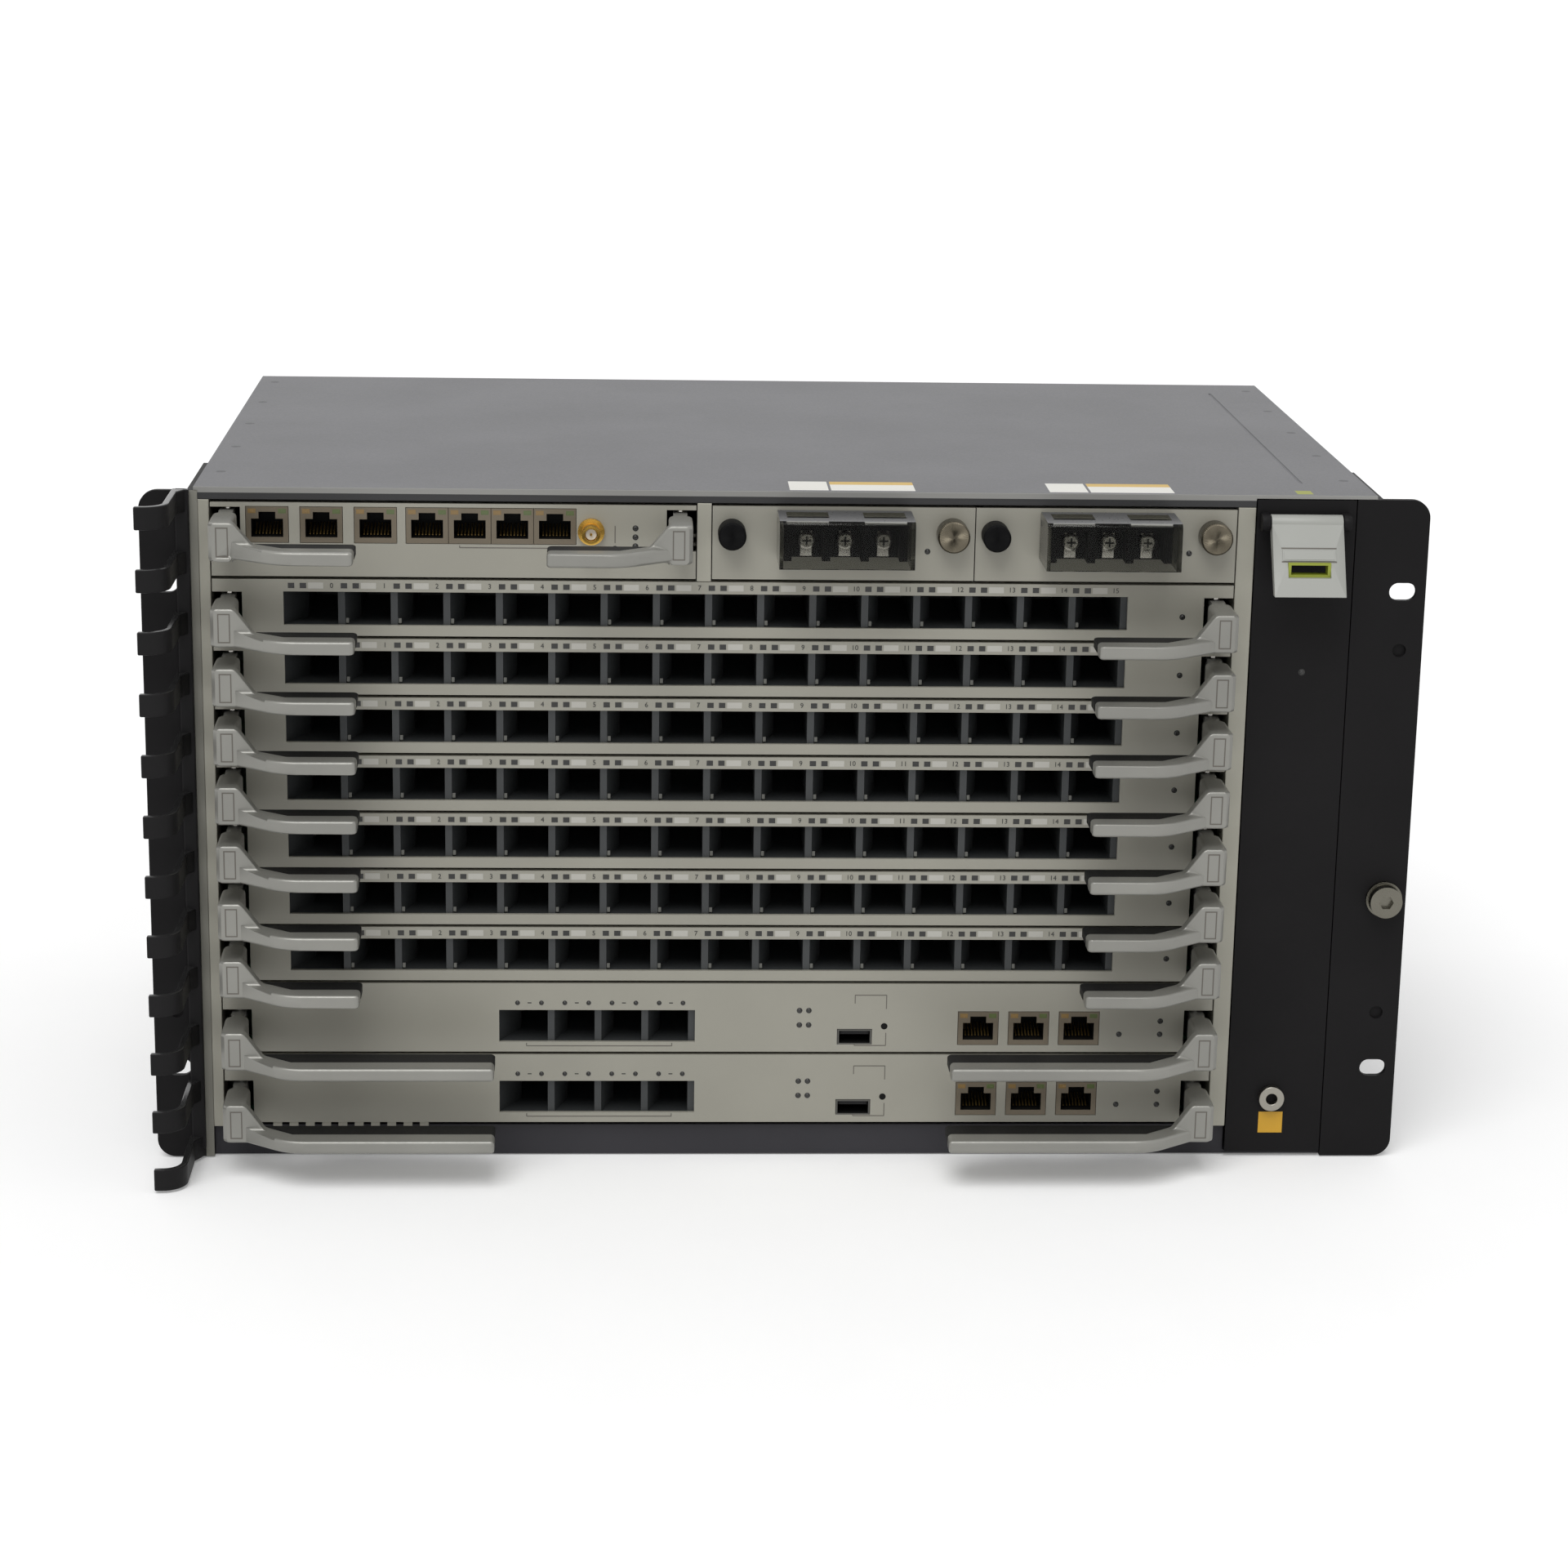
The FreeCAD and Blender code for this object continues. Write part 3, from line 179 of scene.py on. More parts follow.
def mirrored(tree, value, middle, away):
    """Distance to the nearer of two lines, away on either side of middle."""
    aside = maths(tree, "ABSOLUTE", maths(tree, "SUBTRACT", value, middle * MM))
    return maths(tree, "SUBTRACT", aside, away * MM)


def repeated(tree, value, start, pitch):
    """Distance to the nearest of evenly spaced lines."""
    run = maths(tree, "SUBTRACT", value, start * MM)
    return maths(tree, "WRAP", run, pitch / 2 * MM, -pitch / 2 * MM)


def tint(material, mask, colour):
    """Lays a flat colour over a surface where a mask is 1."""
    tree = material.node_tree
    base = tree.nodes["Principled BSDF"].inputs["Base Color"]
    mix = tree.nodes.new("ShaderNodeMix")
    mix.data_type = "RGBA"
    tree.links.new(mask, mix.inputs["Factor"])
    tree.links.new(base.links[0].from_socket, mix.inputs["A"])
    mix.inputs["B"].default_value = (*colour, 1)
    tree.links.new(mix.outputs["Result"], base)


def emboss(material, mask, height):
    """Raises a surface where a mask is 1."""
    tree = material.node_tree
    normal = tree.nodes["Principled BSDF"].inputs["Normal"]
    node = tree.nodes.new("ShaderNodeBump")
    node.inputs["Distance"].default_value = height * MM
    tree.links.new(mask, node.inputs["Height"])
    tree.links.new(normal.links[0].from_socket, node.inputs["Normal"])
    tree.links.new(node.outputs["Normal"], normal)


# Kinds of surface
def coated(name, colour, vary, roughness, grain, depth, metallic=0.0, shine=0.5):
    """Painted, cast, moulded or plated surface: slow colour drift, fine grain and uneven gloss."""
    material, tree, bsdf = shader(name)
    drift = surface_noise(tree, CLOUD_SCALE, CLOUD_DETAIL)
    dark = [c * (1 - vary) for c in colour]
    light = [c * (1 + vary) for c in colour]
    tree.links.new(two_tone(tree, drift, dark, light), bsdf.inputs["Base Color"])
    fine = surface_noise(tree, grain, GRAIN_DETAIL)
    uneven_gloss(tree, bsdf, fine, roughness)
    bump(tree, bsdf, fine, depth, GRAIN_STRENGTH)
    bsdf.inputs["Metallic"].default_value = metallic
    bsdf.inputs["Specular IOR Level"].default_value = shine
    return material


def black_paint(name):
    return coated(name, (0.0095, 0.009, 0.0095), 0.12, 0.5, 1600, 0.04, shine=0.1)


def clear_smoke(name, colour):
    """See-through tinted plastic."""
    material, tree, bsdf = shader(name)
    drift = surface_noise(tree, SMOKE_CLOUD, PLASTIC_DETAIL)
    dark = [c * SMOKE_SHADE for c in colour]
    tree.links.new(two_tone(tree, drift, dark, colour), bsdf.inputs["Base Color"])
    tree.links.new(spread(tree, drift, *SMOKE_GLOSS), bsdf.inputs["Roughness"])
    bsdf.inputs["Transmission Weight"].default_value = 1.0
    bsdf.inputs["IOR"].default_value = SMOKE_IOR
    return material


def circuit_board(name):
    """Green board with a fine grid of tracks."""
    material, tree, bsdf = shader(name)
    place = tree.nodes.new("ShaderNodeTexCoord")
    bricks = tree.nodes.new("ShaderNodeTexBrick")
    bricks.inputs["Scale"].default_value = TRACK_SCALE
    bricks.inputs["Mortar Size"].default_value = TRACK_WIDTH
    bricks.inputs["Color1"].default_value = (0.012, 0.075, 0.035, 1)
    bricks.inputs["Color2"].default_value = (0.016, 0.09, 0.04, 1)
    bricks.inputs["Mortar"].default_value = (0.05, 0.14, 0.07, 1)
    tree.links.new(place.outputs["Object"], bricks.inputs["Vector"])
    tree.links.new(bricks.outputs["Color"], bsdf.inputs["Base Color"])
    tree.links.new(spread(tree, bricks.outputs["Fac"], *BOARD_GLOSS), bsdf.inputs["Roughness"])
    return material


def knurled(name, colour, roughness, metallic, teeth, shine=0.5):
    """Turned knob with fine ribs round its rim, worked out from the angle about its middle."""
    material, tree, bsdf = shader(name)
    place = tree.nodes.new("ShaderNodeTexCoord")
    move = tree.nodes.new("ShaderNodeMapping")
    move.inputs["Location"].default_value = (-0.5, 0.5, 0)
    move.inputs["Rotation"].default_value = (math.pi / 2, 0, 0)
    tree.links.new(place.outputs["Generated"], move.inputs["Vector"])
    angle = tree.nodes.new("ShaderNodeTexGradient")
    angle.gradient_type = "RADIAL"
    tree.links.new(move.outputs["Vector"], angle.inputs["Vector"])
    ribs = maths(tree, "PINGPONG", maths(tree, "MULTIPLY", angle.outputs["Fac"], teeth), 0.5)
    drift = surface_noise(tree, KNOB_CLOUD, PLASTIC_DETAIL)
    dark = [c * KNOB_SHADE for c in colour]
    tree.links.new(two_tone(tree, drift, dark, colour), bsdf.inputs["Base Color"])
    uneven_gloss(tree, bsdf, drift, roughness)
    bump(tree, bsdf, ribs, RIB_HEIGHT, RIB_STRENGTH)
    bsdf.inputs["Metallic"].default_value = metallic
    bsdf.inputs["Specular IOR Level"].default_value = shine
    return material


# Paints with stickers, rivets, screws and a bare edge
SKIN = 0.2
RIVET_ASIDE = 214
RIVET_START = -103
RIVET_PITCH = 55
RIVET_RADIUS = 1.9
RIVET_HEIGHT = 0.4
RIVET_COLOUR = (0.07, 0.07, 0.075)
# Front lip of the cover: painted shadow over its face and a painted highlight along its upper edge
HIGHLIGHT_RIM_DEPTH = 2.2
LIP_SHADOW_COLOUR = (0.035, 0.035, 0.036)
RIM_HIGHLIGHT_COLOUR = (0.27, 0.268, 0.255)
STICKER_WHITE = (0.76, 0.75, 0.70)
STICKER_AMBER = (0.62, 0.42, 0.12)
STICKER_LIME = (0.30, 0.32, 0.05)
STICKER_LEFT = (0, 97.5)
STICKER_FRONT = -132.0
STICKER_FIELDS = (
    (0, 14.5, 0, 18, STICKER_WHITE),
    (15.5, 47, 0, 12, STICKER_WHITE),
    (15.5, 47, 12, 18, STICKER_AMBER),
)
LIME_SPAN = (191, 197)
LIME_DEPTH = 7
REAR_MIDDLE = 131.95
REAR_HALF_WIDTH = 208
REAR_HALF_HEIGHT = 112
REAR_LINE = 0.7
REAR_LINE_COLOUR = (0.03, 0.03, 0.032)
REAR_PLATE_RISE = 0.6
REAR_SCREW_START = 26
REAR_SCREW_PITCH = 52
REAR_SCREW_ASIDE = 121
REAR_SCREW_RECESS = 3.4
REAR_SCREW_RADIUS = 2.9
REAR_SCREW_RISE = 0.5
REAR_SCREW_COLOUR = (0.035, 0.035, 0.037)
# Painted shade in the recess round each rear screw head
RECESS_SHADE_COLOUR = (0.003, 0.003, 0.003)
BARE_EDGE = 3.2
BARE_COLOUR = (0.24, 0.235, 0.205)


def on_front(tree, y):
    """1 on the faces at the chassis front, else 0."""
    return maths(tree, "LESS_THAN", y, FRONT + SKIN * MM)


def top_paint():
    """Cover paint with rivets along both sides, a painted shadow over the front lip with a painted highlight
    along its upper edge, and blank stickers.
    """
    material = coated("chassis_paint", (0.135, 0.135, 0.142), 0.06, 0.5, 1400, 0.02, shine=0.3)
    tree = material.node_tree
    x, y, z = axes(tree)
    aside = mirrored(tree, x, 0, RIVET_ASIDE)
    rivets = spots(tree, aside, repeated(tree, y, RIVET_START, RIVET_PITCH), RIVET_RADIUS)
    tint(material, rivets, RIVET_COLOUR)
    emboss(material, rivets, RIVET_HEIGHT)
    lime = within(tree, x, y, (*LIME_SPAN, STICKER_FRONT, STICKER_FRONT + LIME_DEPTH))
    tint(material, lime, STICKER_LIME)
    lip = on_front(tree, y)
    rim = maths(tree, "GREATER_THAN", z, TOP - HIGHLIGHT_RIM_DEPTH * MM)
    # Painted shadow over the front lip, then a painted highlight along its upper edge
    tint(material, lip, LIP_SHADOW_COLOUR)
    tint(material, maths(tree, "MULTIPLY", lip, rim), RIM_HIGHLIGHT_COLOUR)
    for left in STICKER_LEFT:
        for u0, u1, v0, v1, colour in STICKER_FIELDS:
            area = (left + u0, left + u1, STICKER_FRONT + v0, STICKER_FRONT + v1)
            tint(material, within(tree, x, y, area), colour)
    return material


def rear_paint():
    """Black paint with a joint line and a row of flush screws along the top and bottom, each in a ring of
    painted shade for its recess.
    """
    material = black_paint("rear_paint")
    tree = material.node_tree
    x, _, z = axes(tree)

    def field(inset):
        across = REAR_HALF_WIDTH - inset
        rise = REAR_HALF_HEIGHT - inset
        return within(tree, x, z, (-across, across, REAR_MIDDLE - rise, REAR_MIDDLE + rise))
    plate = field(0)
    tint(material, maths(tree, "SUBTRACT", plate, field(REAR_LINE)), REAR_LINE_COLOUR)
    emboss(material, plate, REAR_PLATE_RISE)
    u = repeated(tree, x, REAR_SCREW_START, REAR_SCREW_PITCH)
    v = mirrored(tree, z, REAR_MIDDLE, REAR_SCREW_ASIDE)
    # Painted shade in the recess round each screw head
    tint(material, spots(tree, u, v, REAR_SCREW_RECESS), RECESS_SHADE_COLOUR)
    head = spots(tree, u, v, REAR_SCREW_RADIUS)
    tint(material, head, REAR_SCREW_COLOUR)
    emboss(material, head, REAR_SCREW_RISE)
    return material


def left_ear_paint():
    """Black paint that stops short of the inner edge, where bare metal shows beside the cards."""
    material = black_paint("left_ear_paint")
    tree = material.node_tree
    x, y, _ = axes(tree)
    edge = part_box("rack_ear_left")[1].x
    bare = maths(tree, "GREATER_THAN", x, edge - BARE_EDGE * MM)
    tint(material, maths(tree, "MULTIPLY", bare, on_front(tree, y)), BARE_COLOUR)
    return material


# Materials; a coated one has colour, variation, roughness, grain scale, grain depth and metalness
LOOKS = {
    "chassis": top_paint(),
    "left_ear": left_ear_paint(),
    "base": coated("base_paint", (0.036, 0.035, 0.04), 0.08, 0.5, 1400, 0.03, shine=0.2),
    "bolt": coated("bolt_steel", (0.17, 0.162, 0.135), 0.2, 0.28, 500, 0.03, 1.0),
    "fin": coated("heat_sink", (0.40, 0.40, 0.395), 0.06, 0.36, 900, 0.01, 0.85),
    "rear": rear_paint(),
    "black": black_paint("black_paint"),
    "comb": coated("comb_plastic", (0.011, 0.0105, 0.011), 0.12, 0.45, 900, 0.02, shine=0.12),
    # Lighter, glossier copy of the comb plastic for the fingers' upward faces: a painted highlight
    "comb_lit_top": coated("comb_lit_top", (0.02, 0.02, 0.02), 0.12, 0.2, 900, 0.01, shine=0.6),
    "card": coated("card_paint", (0.30, 0.29, 0.245), 0.04, 0.42, 1800, 0.02),
    "post": coated("post_metal", (0.33, 0.32, 0.27), 0.06, 0.4, 1200, 0.02, 0.3),
    "lever": coated("lever_cast", (0.25, 0.247, 0.225), 0.08, 0.34, 1000, 0.05, 0.35),
    "grip": coated("grip_rubber", (0.012, 0.012, 0.012), 0.15, 0.6, 1500, 0.04, shine=0.2),
    "bay": coated("bay_cage", (0.036, 0.039, 0.04), 0.12, 0.45, 700, 0.02, 0.2),
    "tab": coated("spring_metal", (0.10, 0.10, 0.09), 0.1, 0.4, 700, 0.01, 0.6),
    "black_plastic": coated("black_plastic", (0.009, 0.009, 0.0095), 0.15, 0.42, 1200, 0.03, shine=0.2),
    "jack": coated("jack_shell", (0.15, 0.125, 0.09), 0.1, 0.4, 900, 0.01, 0.5),
    "shield": coated("socket_shield", (0.085, 0.083, 0.075), 0.08, 0.35, 900, 0.01, 0.6),
    # Near-black for socket insides and the reset hole: dark plastic inside the network jacks, painted shade
    # inside the USB shells and in the reset hole
    "hollow": coated("socket_hollow", (0.006, 0.006, 0.006), 0.2, 0.5, 900, 0.02, shine=0.1),
    # Dark brown-grey for printed lines, also used for the handle grooves, where it is painted shade
    "line": coated("fine_line_and_groove_shade", (0.11, 0.10, 0.085), 0.1, 0.5, 900, 0.005),
    "white_plastic": coated("white_insulator", (0.70, 0.69, 0.64), 0.03, 0.4, 900, 0.01),
    "contact": coated("contact_wire", (0.20, 0.13, 0.04), 0.1, 0.35, 600, 0.01, 0.8),
    "gold": coated("gold_plate", (0.62, 0.38, 0.08), 0.08, 0.26, 600, 0.01, 1.0),
    "nickel": coated("nickel_plate", (0.58, 0.56, 0.52), 0.06, 0.24, 700, 0.01, 1.0),
    "steel": coated("dull_steel", (0.33, 0.315, 0.275), 0.08, 0.3, 600, 0.02, 1.0),
    "pale": coated("pale_plastic", (0.335, 0.34, 0.315), 0.03, 0.42, 1100, 0.02),
    "lime": coated("lime_plastic", (0.27, 0.31, 0.03), 0.06, 0.4, 900, 0.02),
    "led": coated("led_window", (0.018, 0.018, 0.017), 0.2, 0.25, 500, 0.005),
    "green_lens": coated("green_lens", (0.09, 0.12, 0.04), 0.1, 0.25, 500, 0.005),
    "amber_lens": coated("amber_lens", (0.22, 0.14, 0.05), 0.1, 0.25, 500, 0.005),
    # Dark ink for printed numbers, also used for the screw crosses, where it is painted shade
    "ink": coated("dark_print_and_shade", (0.025, 0.025, 0.024), 0.1, 0.5, 900, 0.005),
    "pale_ink": coated("pale_print", (0.44, 0.43, 0.39), 0.04, 0.5, 900, 0.005),
    "amber": coated("amber_sticker", (0.60, 0.33, 0.02), 0.05, 0.5, 700, 0.01),
    "smoke": clear_smoke("smoked_plastic", (0.37, 0.37, 0.345)),
    # Opaque lighter grey for the terminal covers' upper faces: a painted reflection of the light from above
    "smoke_lit_top": coated("smoked_lit_top", (0.09, 0.09, 0.092), 0.08, 0.3, 700, 0.01),
    "board": circuit_board("circuit_board"),
    "black_knob": knurled("black_knob", (0.007, 0.007, 0.0075), 0.5, 0.0, 48, 0.05),
    "bright_knob": knurled("bright_knob", (0.15, 0.132, 0.098), 0.3, 1.0, 60),
}


# Solids of one CAD node: closed runs of faces, in the order of its mesh
POINTS_PER_METRE = 1e6


def solids(node):
    mesh = frame["nodes"][node].data
    found, faces, open_edges = [], [], set()
    for face in mesh.polygons:
        points = [tuple(round(c * POINTS_PER_METRE) for c in mesh.vertices[v].co) for v in face.vertices]
        for a, b in zip(points, points[1:] + points[:1]):
            open_edges ^= {frozenset((a, b))}
        faces.append(face.index)
        if not open_edges:
            found.append(faces)
            faces = []
    return found + [faces] if faces else found


def span(node, faces):
    """Lowest and highest corner of a solid, in metres."""
    mesh = frame["nodes"][node].data
    points = [mesh.vertices[v].co for f in faces for v in mesh.polygons[f].vertices]
    low = Vector([min(p[i] for p in points) for i in range(3)])
    high = Vector([max(p[i] for p in points) for i in range(3)])
    return low, high


# Sizes and places that tell the solids of a node apart
PROUD = 6
COAX_WIDTH = 12
COAX_HEIGHT = 11
BOARD_WIDTH = 60
BOARD_DEPTH = 150
PLUG_START = 100
PIN_SIZE = 4
BANK_START = 1
USB_WIDTH = 14
JACK_WIDTH = 20
GRIP_HEIGHT = 4.6
BACKPLANE_HEIGHT = 100


def card_look(low, high):
    """Which part of a card a solid is, judged by its size and place."""
    size = high - low
    if low.y < FRONT - PROUD * MM and size.z < COAX_HEIGHT * MM and size.x < COAX_WIDTH * MM:
        return "gold"
    if low.y < FRONT - PROUD * MM:
        return "black_plastic"
    if size.x > BOARD_WIDTH * MM and size.y > BOARD_DEPTH * MM:
        return "board"
    if low.y > FRONT + PLUG_START * MM:
        return "black_plastic"
    if size.x < PIN_SIZE * MM and size.y < PIN_SIZE * MM:
        return "nickel"
    if low.y > FRONT + BANK_START * MM:
        return "bay"
    if size.x < USB_WIDTH * MM:
        return "shield"
    if size.x < JACK_WIDTH * MM:
        return "jack"
    return "card"


def lever_look(low, high):
    return "grip" if high.z - low.z < GRIP_HEIGHT * MM else "lever"


def backplane_look(low, high):
    return "board" if high.z - low.z > BACKPLANE_HEIGHT * MM else "black_plastic"


# Materials of the CAD nodes
CARD_LOOKS = ["card", "board", "bay", "nickel", "jack", "shield", "hollow", "gold", "black_plastic"]
SOCKETS = ("jack", "shield")
SOCKET_WALL = 0.1
PLAIN_LOOKS = {
    "left_wall": "black", "right_wall": "black", "base_plate": "base", "rear_plate": "rear",
    "top_cover": "chassis", "card_guide_left": "post", "card_guide_right": "post",
    "top_row_divider": "post", "rack_ear_left": "left_ear", "rack_ear_right": "black",
    "cable_comb": "comb", "ground_screw": "bolt", "fan_tray": "black", "fan_handle": "pale",
    "wrist_strap_jack": "steel", "fan_frames": "black_plastic",
}


def inside(point, low, high):
    """Whether a point keeps clear of all six sides of a box."""
    wall = SOCKET_WALL * MM
    return all(low[i] + wall < point[i] < high[i] - wall for i in range(3))


def dress(node, looks, choose=None):
    """Gives a CAD node its materials; choose picks one of looks for a solid from its corners."""
    thing = frame["nodes"][node]
    thing.data.materials.clear()
    for look in looks:
        thing.data.materials.append(LOOKS[look])
    if choose:
        for faces in solids(node):
            low, high = span(node, faces)
            look = choose(low, high)
            for f in faces:
                face = thing.data.polygons[f]
                # Faces inside a socket take the near-black: dark plastic in a network jack, painted shade in
                # a USB shell
                sunk = look in SOCKETS and inside(face.center, low, high)
                face.material_index = looks.index("hollow" if sunk else look)


def dress_cover(node):
    """Smoked cover whose upper faces take an opaque lighter grey, a painted reflection of the light from
    above.
    """
    dress(node, ["smoke", "smoke_lit_top"])
    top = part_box(node)[1].z
    for face in frame["nodes"][node].data.polygons:
        face.material_index = int(face.center.z > top - SKIN * MM)


# Rounding of the CAD nodes' edges
EDGE = 0.35
FINE_EDGE = 0.18
LEVER_EDGE = 1.3
WELD_GAP = 0.001
SHARP = math.radians(40)
SHOULDER = 8.7


def lever_edges(node):
    """Node group that marks the sharp edges of a lever for rounding, from its shoulder forward."""
    pivot = [j["pos_m"] for j in frame["record"]["behaviour"]["joints"] if j["child"] == node][0]
    group = bpy.data.node_groups.new("lever_edges", "GeometryNodeTree")
    for way in ("INPUT", "OUTPUT"):
        group.interface.new_socket("Geometry", in_out=way, socket_type="NodeSocketGeometry")
    start = group.nodes.new("NodeGroupInput")
    end = group.nodes.new("NodeGroupOutput")
    angle = group.nodes.new("GeometryNodeInputMeshEdgeAngle")
    place = group.nodes.new("GeometryNodeInputPosition")
    split = group.nodes.new("ShaderNodeSeparateXYZ")
    group.links.new(place.outputs["Position"], split.inputs["Vector"])
    sharp = maths(group, "GREATER_THAN", angle.outputs["Unsigned Angle"], SHARP)
    ahead = maths(group, "LESS_THAN", split.outputs["Y"], pivot[1] - SHOULDER * MM)
    store = group.nodes.new("GeometryNodeStoreNamedAttribute")
    store.domain = "EDGE"
    store.data_type = "FLOAT"
    store.inputs["Name"].default_value = "bevel_weight_edge"
    group.links.new(start.outputs["Geometry"], store.inputs["Geometry"])
    group.links.new(maths(group, "MULTIPLY", sharp, ahead), store.inputs["Value"])
    group.links.new(store.outputs["Geometry"], end.inputs["Geometry"])
    return group


def soften(node, width):
    """Rounds the sharp edges of a CAD node without touching its mesh."""
    thing = frame["nodes"][node]
    lever = node in LEVERS
    weld = thing.modifiers.new("weld", "WELD")
    weld.merge_threshold = WELD_GAP * MM
    if lever:
        marks = thing.modifiers.new("edge_marks", "NODES")
        marks.node_group = lever_edges(node)
    bevel = thing.modifiers.new("bevel", "BEVEL")
    bevel.width = width * MM
    bevel.segments = 4 if lever else 2
    bevel.use_clamp_overlap = not lever
    bevel.limit_method = "WEIGHT" if lever else "ANGLE"
    bevel.angle_limit = SHARP
    bevel.harden_normals = True


def dress_frame():
    for node in NODES:
        if "_card" in node:
            dress(node, CARD_LOOKS, card_look)
        elif node in LEVERS:
            dress(node, ["lever", "grip"], lever_look)
        elif node == "backplane":
            dress(node, ["board", "black_plastic"], backplane_look)
        elif node.startswith("terminal_cover"):
            dress_cover(node)
        elif "_knob_" in node:
            dress(node, [node[:node.index("_knob_")] + "_knob"])
        elif node.startswith("fan_rotor"):
            dress(node, ["black_plastic"])
        else:
            dress(node, [PLAIN_LOOKS[node]])
        fine = "_card" in node or node.startswith("fan_")
        soften(node, LEVER_EDGE if node in LEVERS else FINE_EDGE if fine else EDGE)


# New pieces, drawn in millimetres
PRINT = 0.06
PRINT_LINE = 0.35
TURNED_SIDES = 28
SMALL_SIDES = 16
LAMP_RADIUS = 0.9
LAMP = ((0.5, -0.4), (0.8, -0.25), (1.0, -0.05), (1.25, -0.05), (1.25, 0.1))
SIDES = (-1, 1)
THREE = (-1, 0, 1)


def piece(name, body, look, draw, edge=0.0):
    """Mesh object drawn by draw, riding on a body."""
    bm = bmesh.new()
    draw(bm)
    bmesh.ops.scale(bm, vec=(MM, MM, MM), verts=bm.verts)
    mesh = bpy.data.meshes.new(name)
    bm.to_mesh(mesh)
    bm.free()
    thing = bpy.data.objects.new(name, mesh)
    bpy.context.scene.collection.objects.link(thing)
    mesh.materials.append(LOOKS[look])
    if edge:
        bevel = thing.modifiers.new("bevel", "BEVEL")
        bevel.width = edge * MM
        bevel.segments = 2
        bevel.limit_method = "ANGLE"
    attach(thing, body)
    return thing


def named(kind, node):
    return kind + "_" + node


def corners(node):
    """Lowest and highest corner of a node."""
    low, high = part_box(node)
    return low / MM, high / MM


def sockets(node, look):
    """Corners of the solids of a card that have a look, from left to right."""
    found = [span(node, faces) for faces in solids(node)]
    return sorted(((low / MM, high / MM) for low, high in found if card_look(low, high) == look),
                  key=lambda ends: ends[0].x)


def add_box(bm, x, y, z):
    """Box between three pairs of bounds."""
    low, high = (Vector(corner) for corner in zip(x, y, z))
    place = Matrix.Translation((low + high) / 2)
    bmesh.ops.create_cube(bm, size=1, matrix=place @ Matrix.Diagonal((*(high - low), 1)))


def add_block(bm, x, y, z, width, depth, height):
    """Box by the middle of its foot."""
    add_box(bm, (x - width / 2, x + width / 2), (y - depth / 2, y + depth / 2), (z, z + height))


def add_mark(bm, x, z, width, height, face=FRONT_MM):
    """Flat mark on a front that faces the viewer, by its middle."""
    add_box(bm, (x - width / 2, x + width / 2), (face - PRINT, face + PRINT),
            (z - height / 2, z + height / 2))


def add_outline(bm, x, z, width, height, line, face):
    """Thin rectangular frame on a front, by its middle."""
    for side in SIDES:
        add_mark(bm, x + side * (width - line) / 2, z, line, height, face)
        add_mark(bm, x, z + side * (height - line) / 2, width - 2 * line, line, face)


def add_bracket(bm, x0, x1, z, left, right):
    """Thin printed line on a front with an upright of its own length at either end."""
    add_mark(bm, (x0 + x1) / 2, z, x1 - x0, PRINT_LINE)
    for x, rise in ((x0, left), (x1, right)):
        add_mark(bm, x, z + rise / 2, PRINT_LINE, abs(rise))


def add_wire(bm, x, width, start, end, thick):
    """Flat strip that runs from start to end, both (y, z)."""
    section = [(y, z + lift) for lift in (0, thick) for y, z in (start, end)]
    left, right = [[bm.verts.new((x + side * width / 2, *point)) for point in section] for side in SIDES]
    for i, j in ((0, 1), (1, 3), (3, 2), (2, 0)):
        bm.faces.new((left[i], left[j], right[j], right[i]))
    bm.faces.new((left[2], left[3], left[1], left[0]))
    bm.faces.new((right[0], right[1], right[3], right[2]))


def add_spring(bm, x, z, strips):
    """Bent spring behind the front: strips of (width, start, end, thickness), each end (depth, rise)."""
    for width, start, end, thick in strips:
        add_wire(bm, x, width, (FRONT_MM + start[0], z + start[1]), (FRONT_MM + end[0], z + end[1]), thick)


def add_number(bm, number, x, z, height):
    """Printed number on a front, by its middle."""
    curve = bpy.data.curves.new("number", "FONT")
    curve.body = str(number)
    curve.size = height
    curve.align_x = "CENTER"
    curve.align_y = "CENTER"
    curve.resolution_u = 3
    thing = bpy.data.objects.new("number", curve)
    bpy.context.scene.collection.objects.link(thing)
    mesh = bpy.data.meshes.new_from_object(thing.evaluated_get(bpy.context.evaluated_depsgraph_get()))
    mesh.transform(Matrix.Translation((x, FRONT_MM - 2 * PRINT, z)) @ Matrix.Rotation(math.pi / 2, 4, "X"))
    bm.from_mesh(mesh)
    bpy.data.objects.remove(thing)
    bpy.data.curves.remove(curve)
    bpy.data.meshes.remove(mesh)


def add_turned(bm, x, face, z, profile, sides=TURNED_SIDES):
    """Turned piece round an axis along Y, from (radius, depth behind face) points."""
    rings = []
    for radius, depth in profile:
        ring = []
        for i in range(sides):
            a = 2 * math.pi * i / sides
            ring.append(bm.verts.new((x + radius * math.cos(a), face + depth, z + radius * math.sin(a))))
        rings.append(ring)
    for ring, following in zip(rings, rings[1:]):
        for i in range(sides):
            j = (i + 1) % sides
            bm.faces.new((ring[i], ring[j], following[j], following[i]))
    bm.faces.new(list(reversed(rings[0])))
    bm.faces.new(rings[-1])


def add_lamp(bm, x, z, radius=LAMP_RADIUS):
    """Small round lamp in a rim."""
    add_turned(bm, x, FRONT_MM, z, [(radius * share, depth) for share, depth in LAMP], SMALL_SIDES)


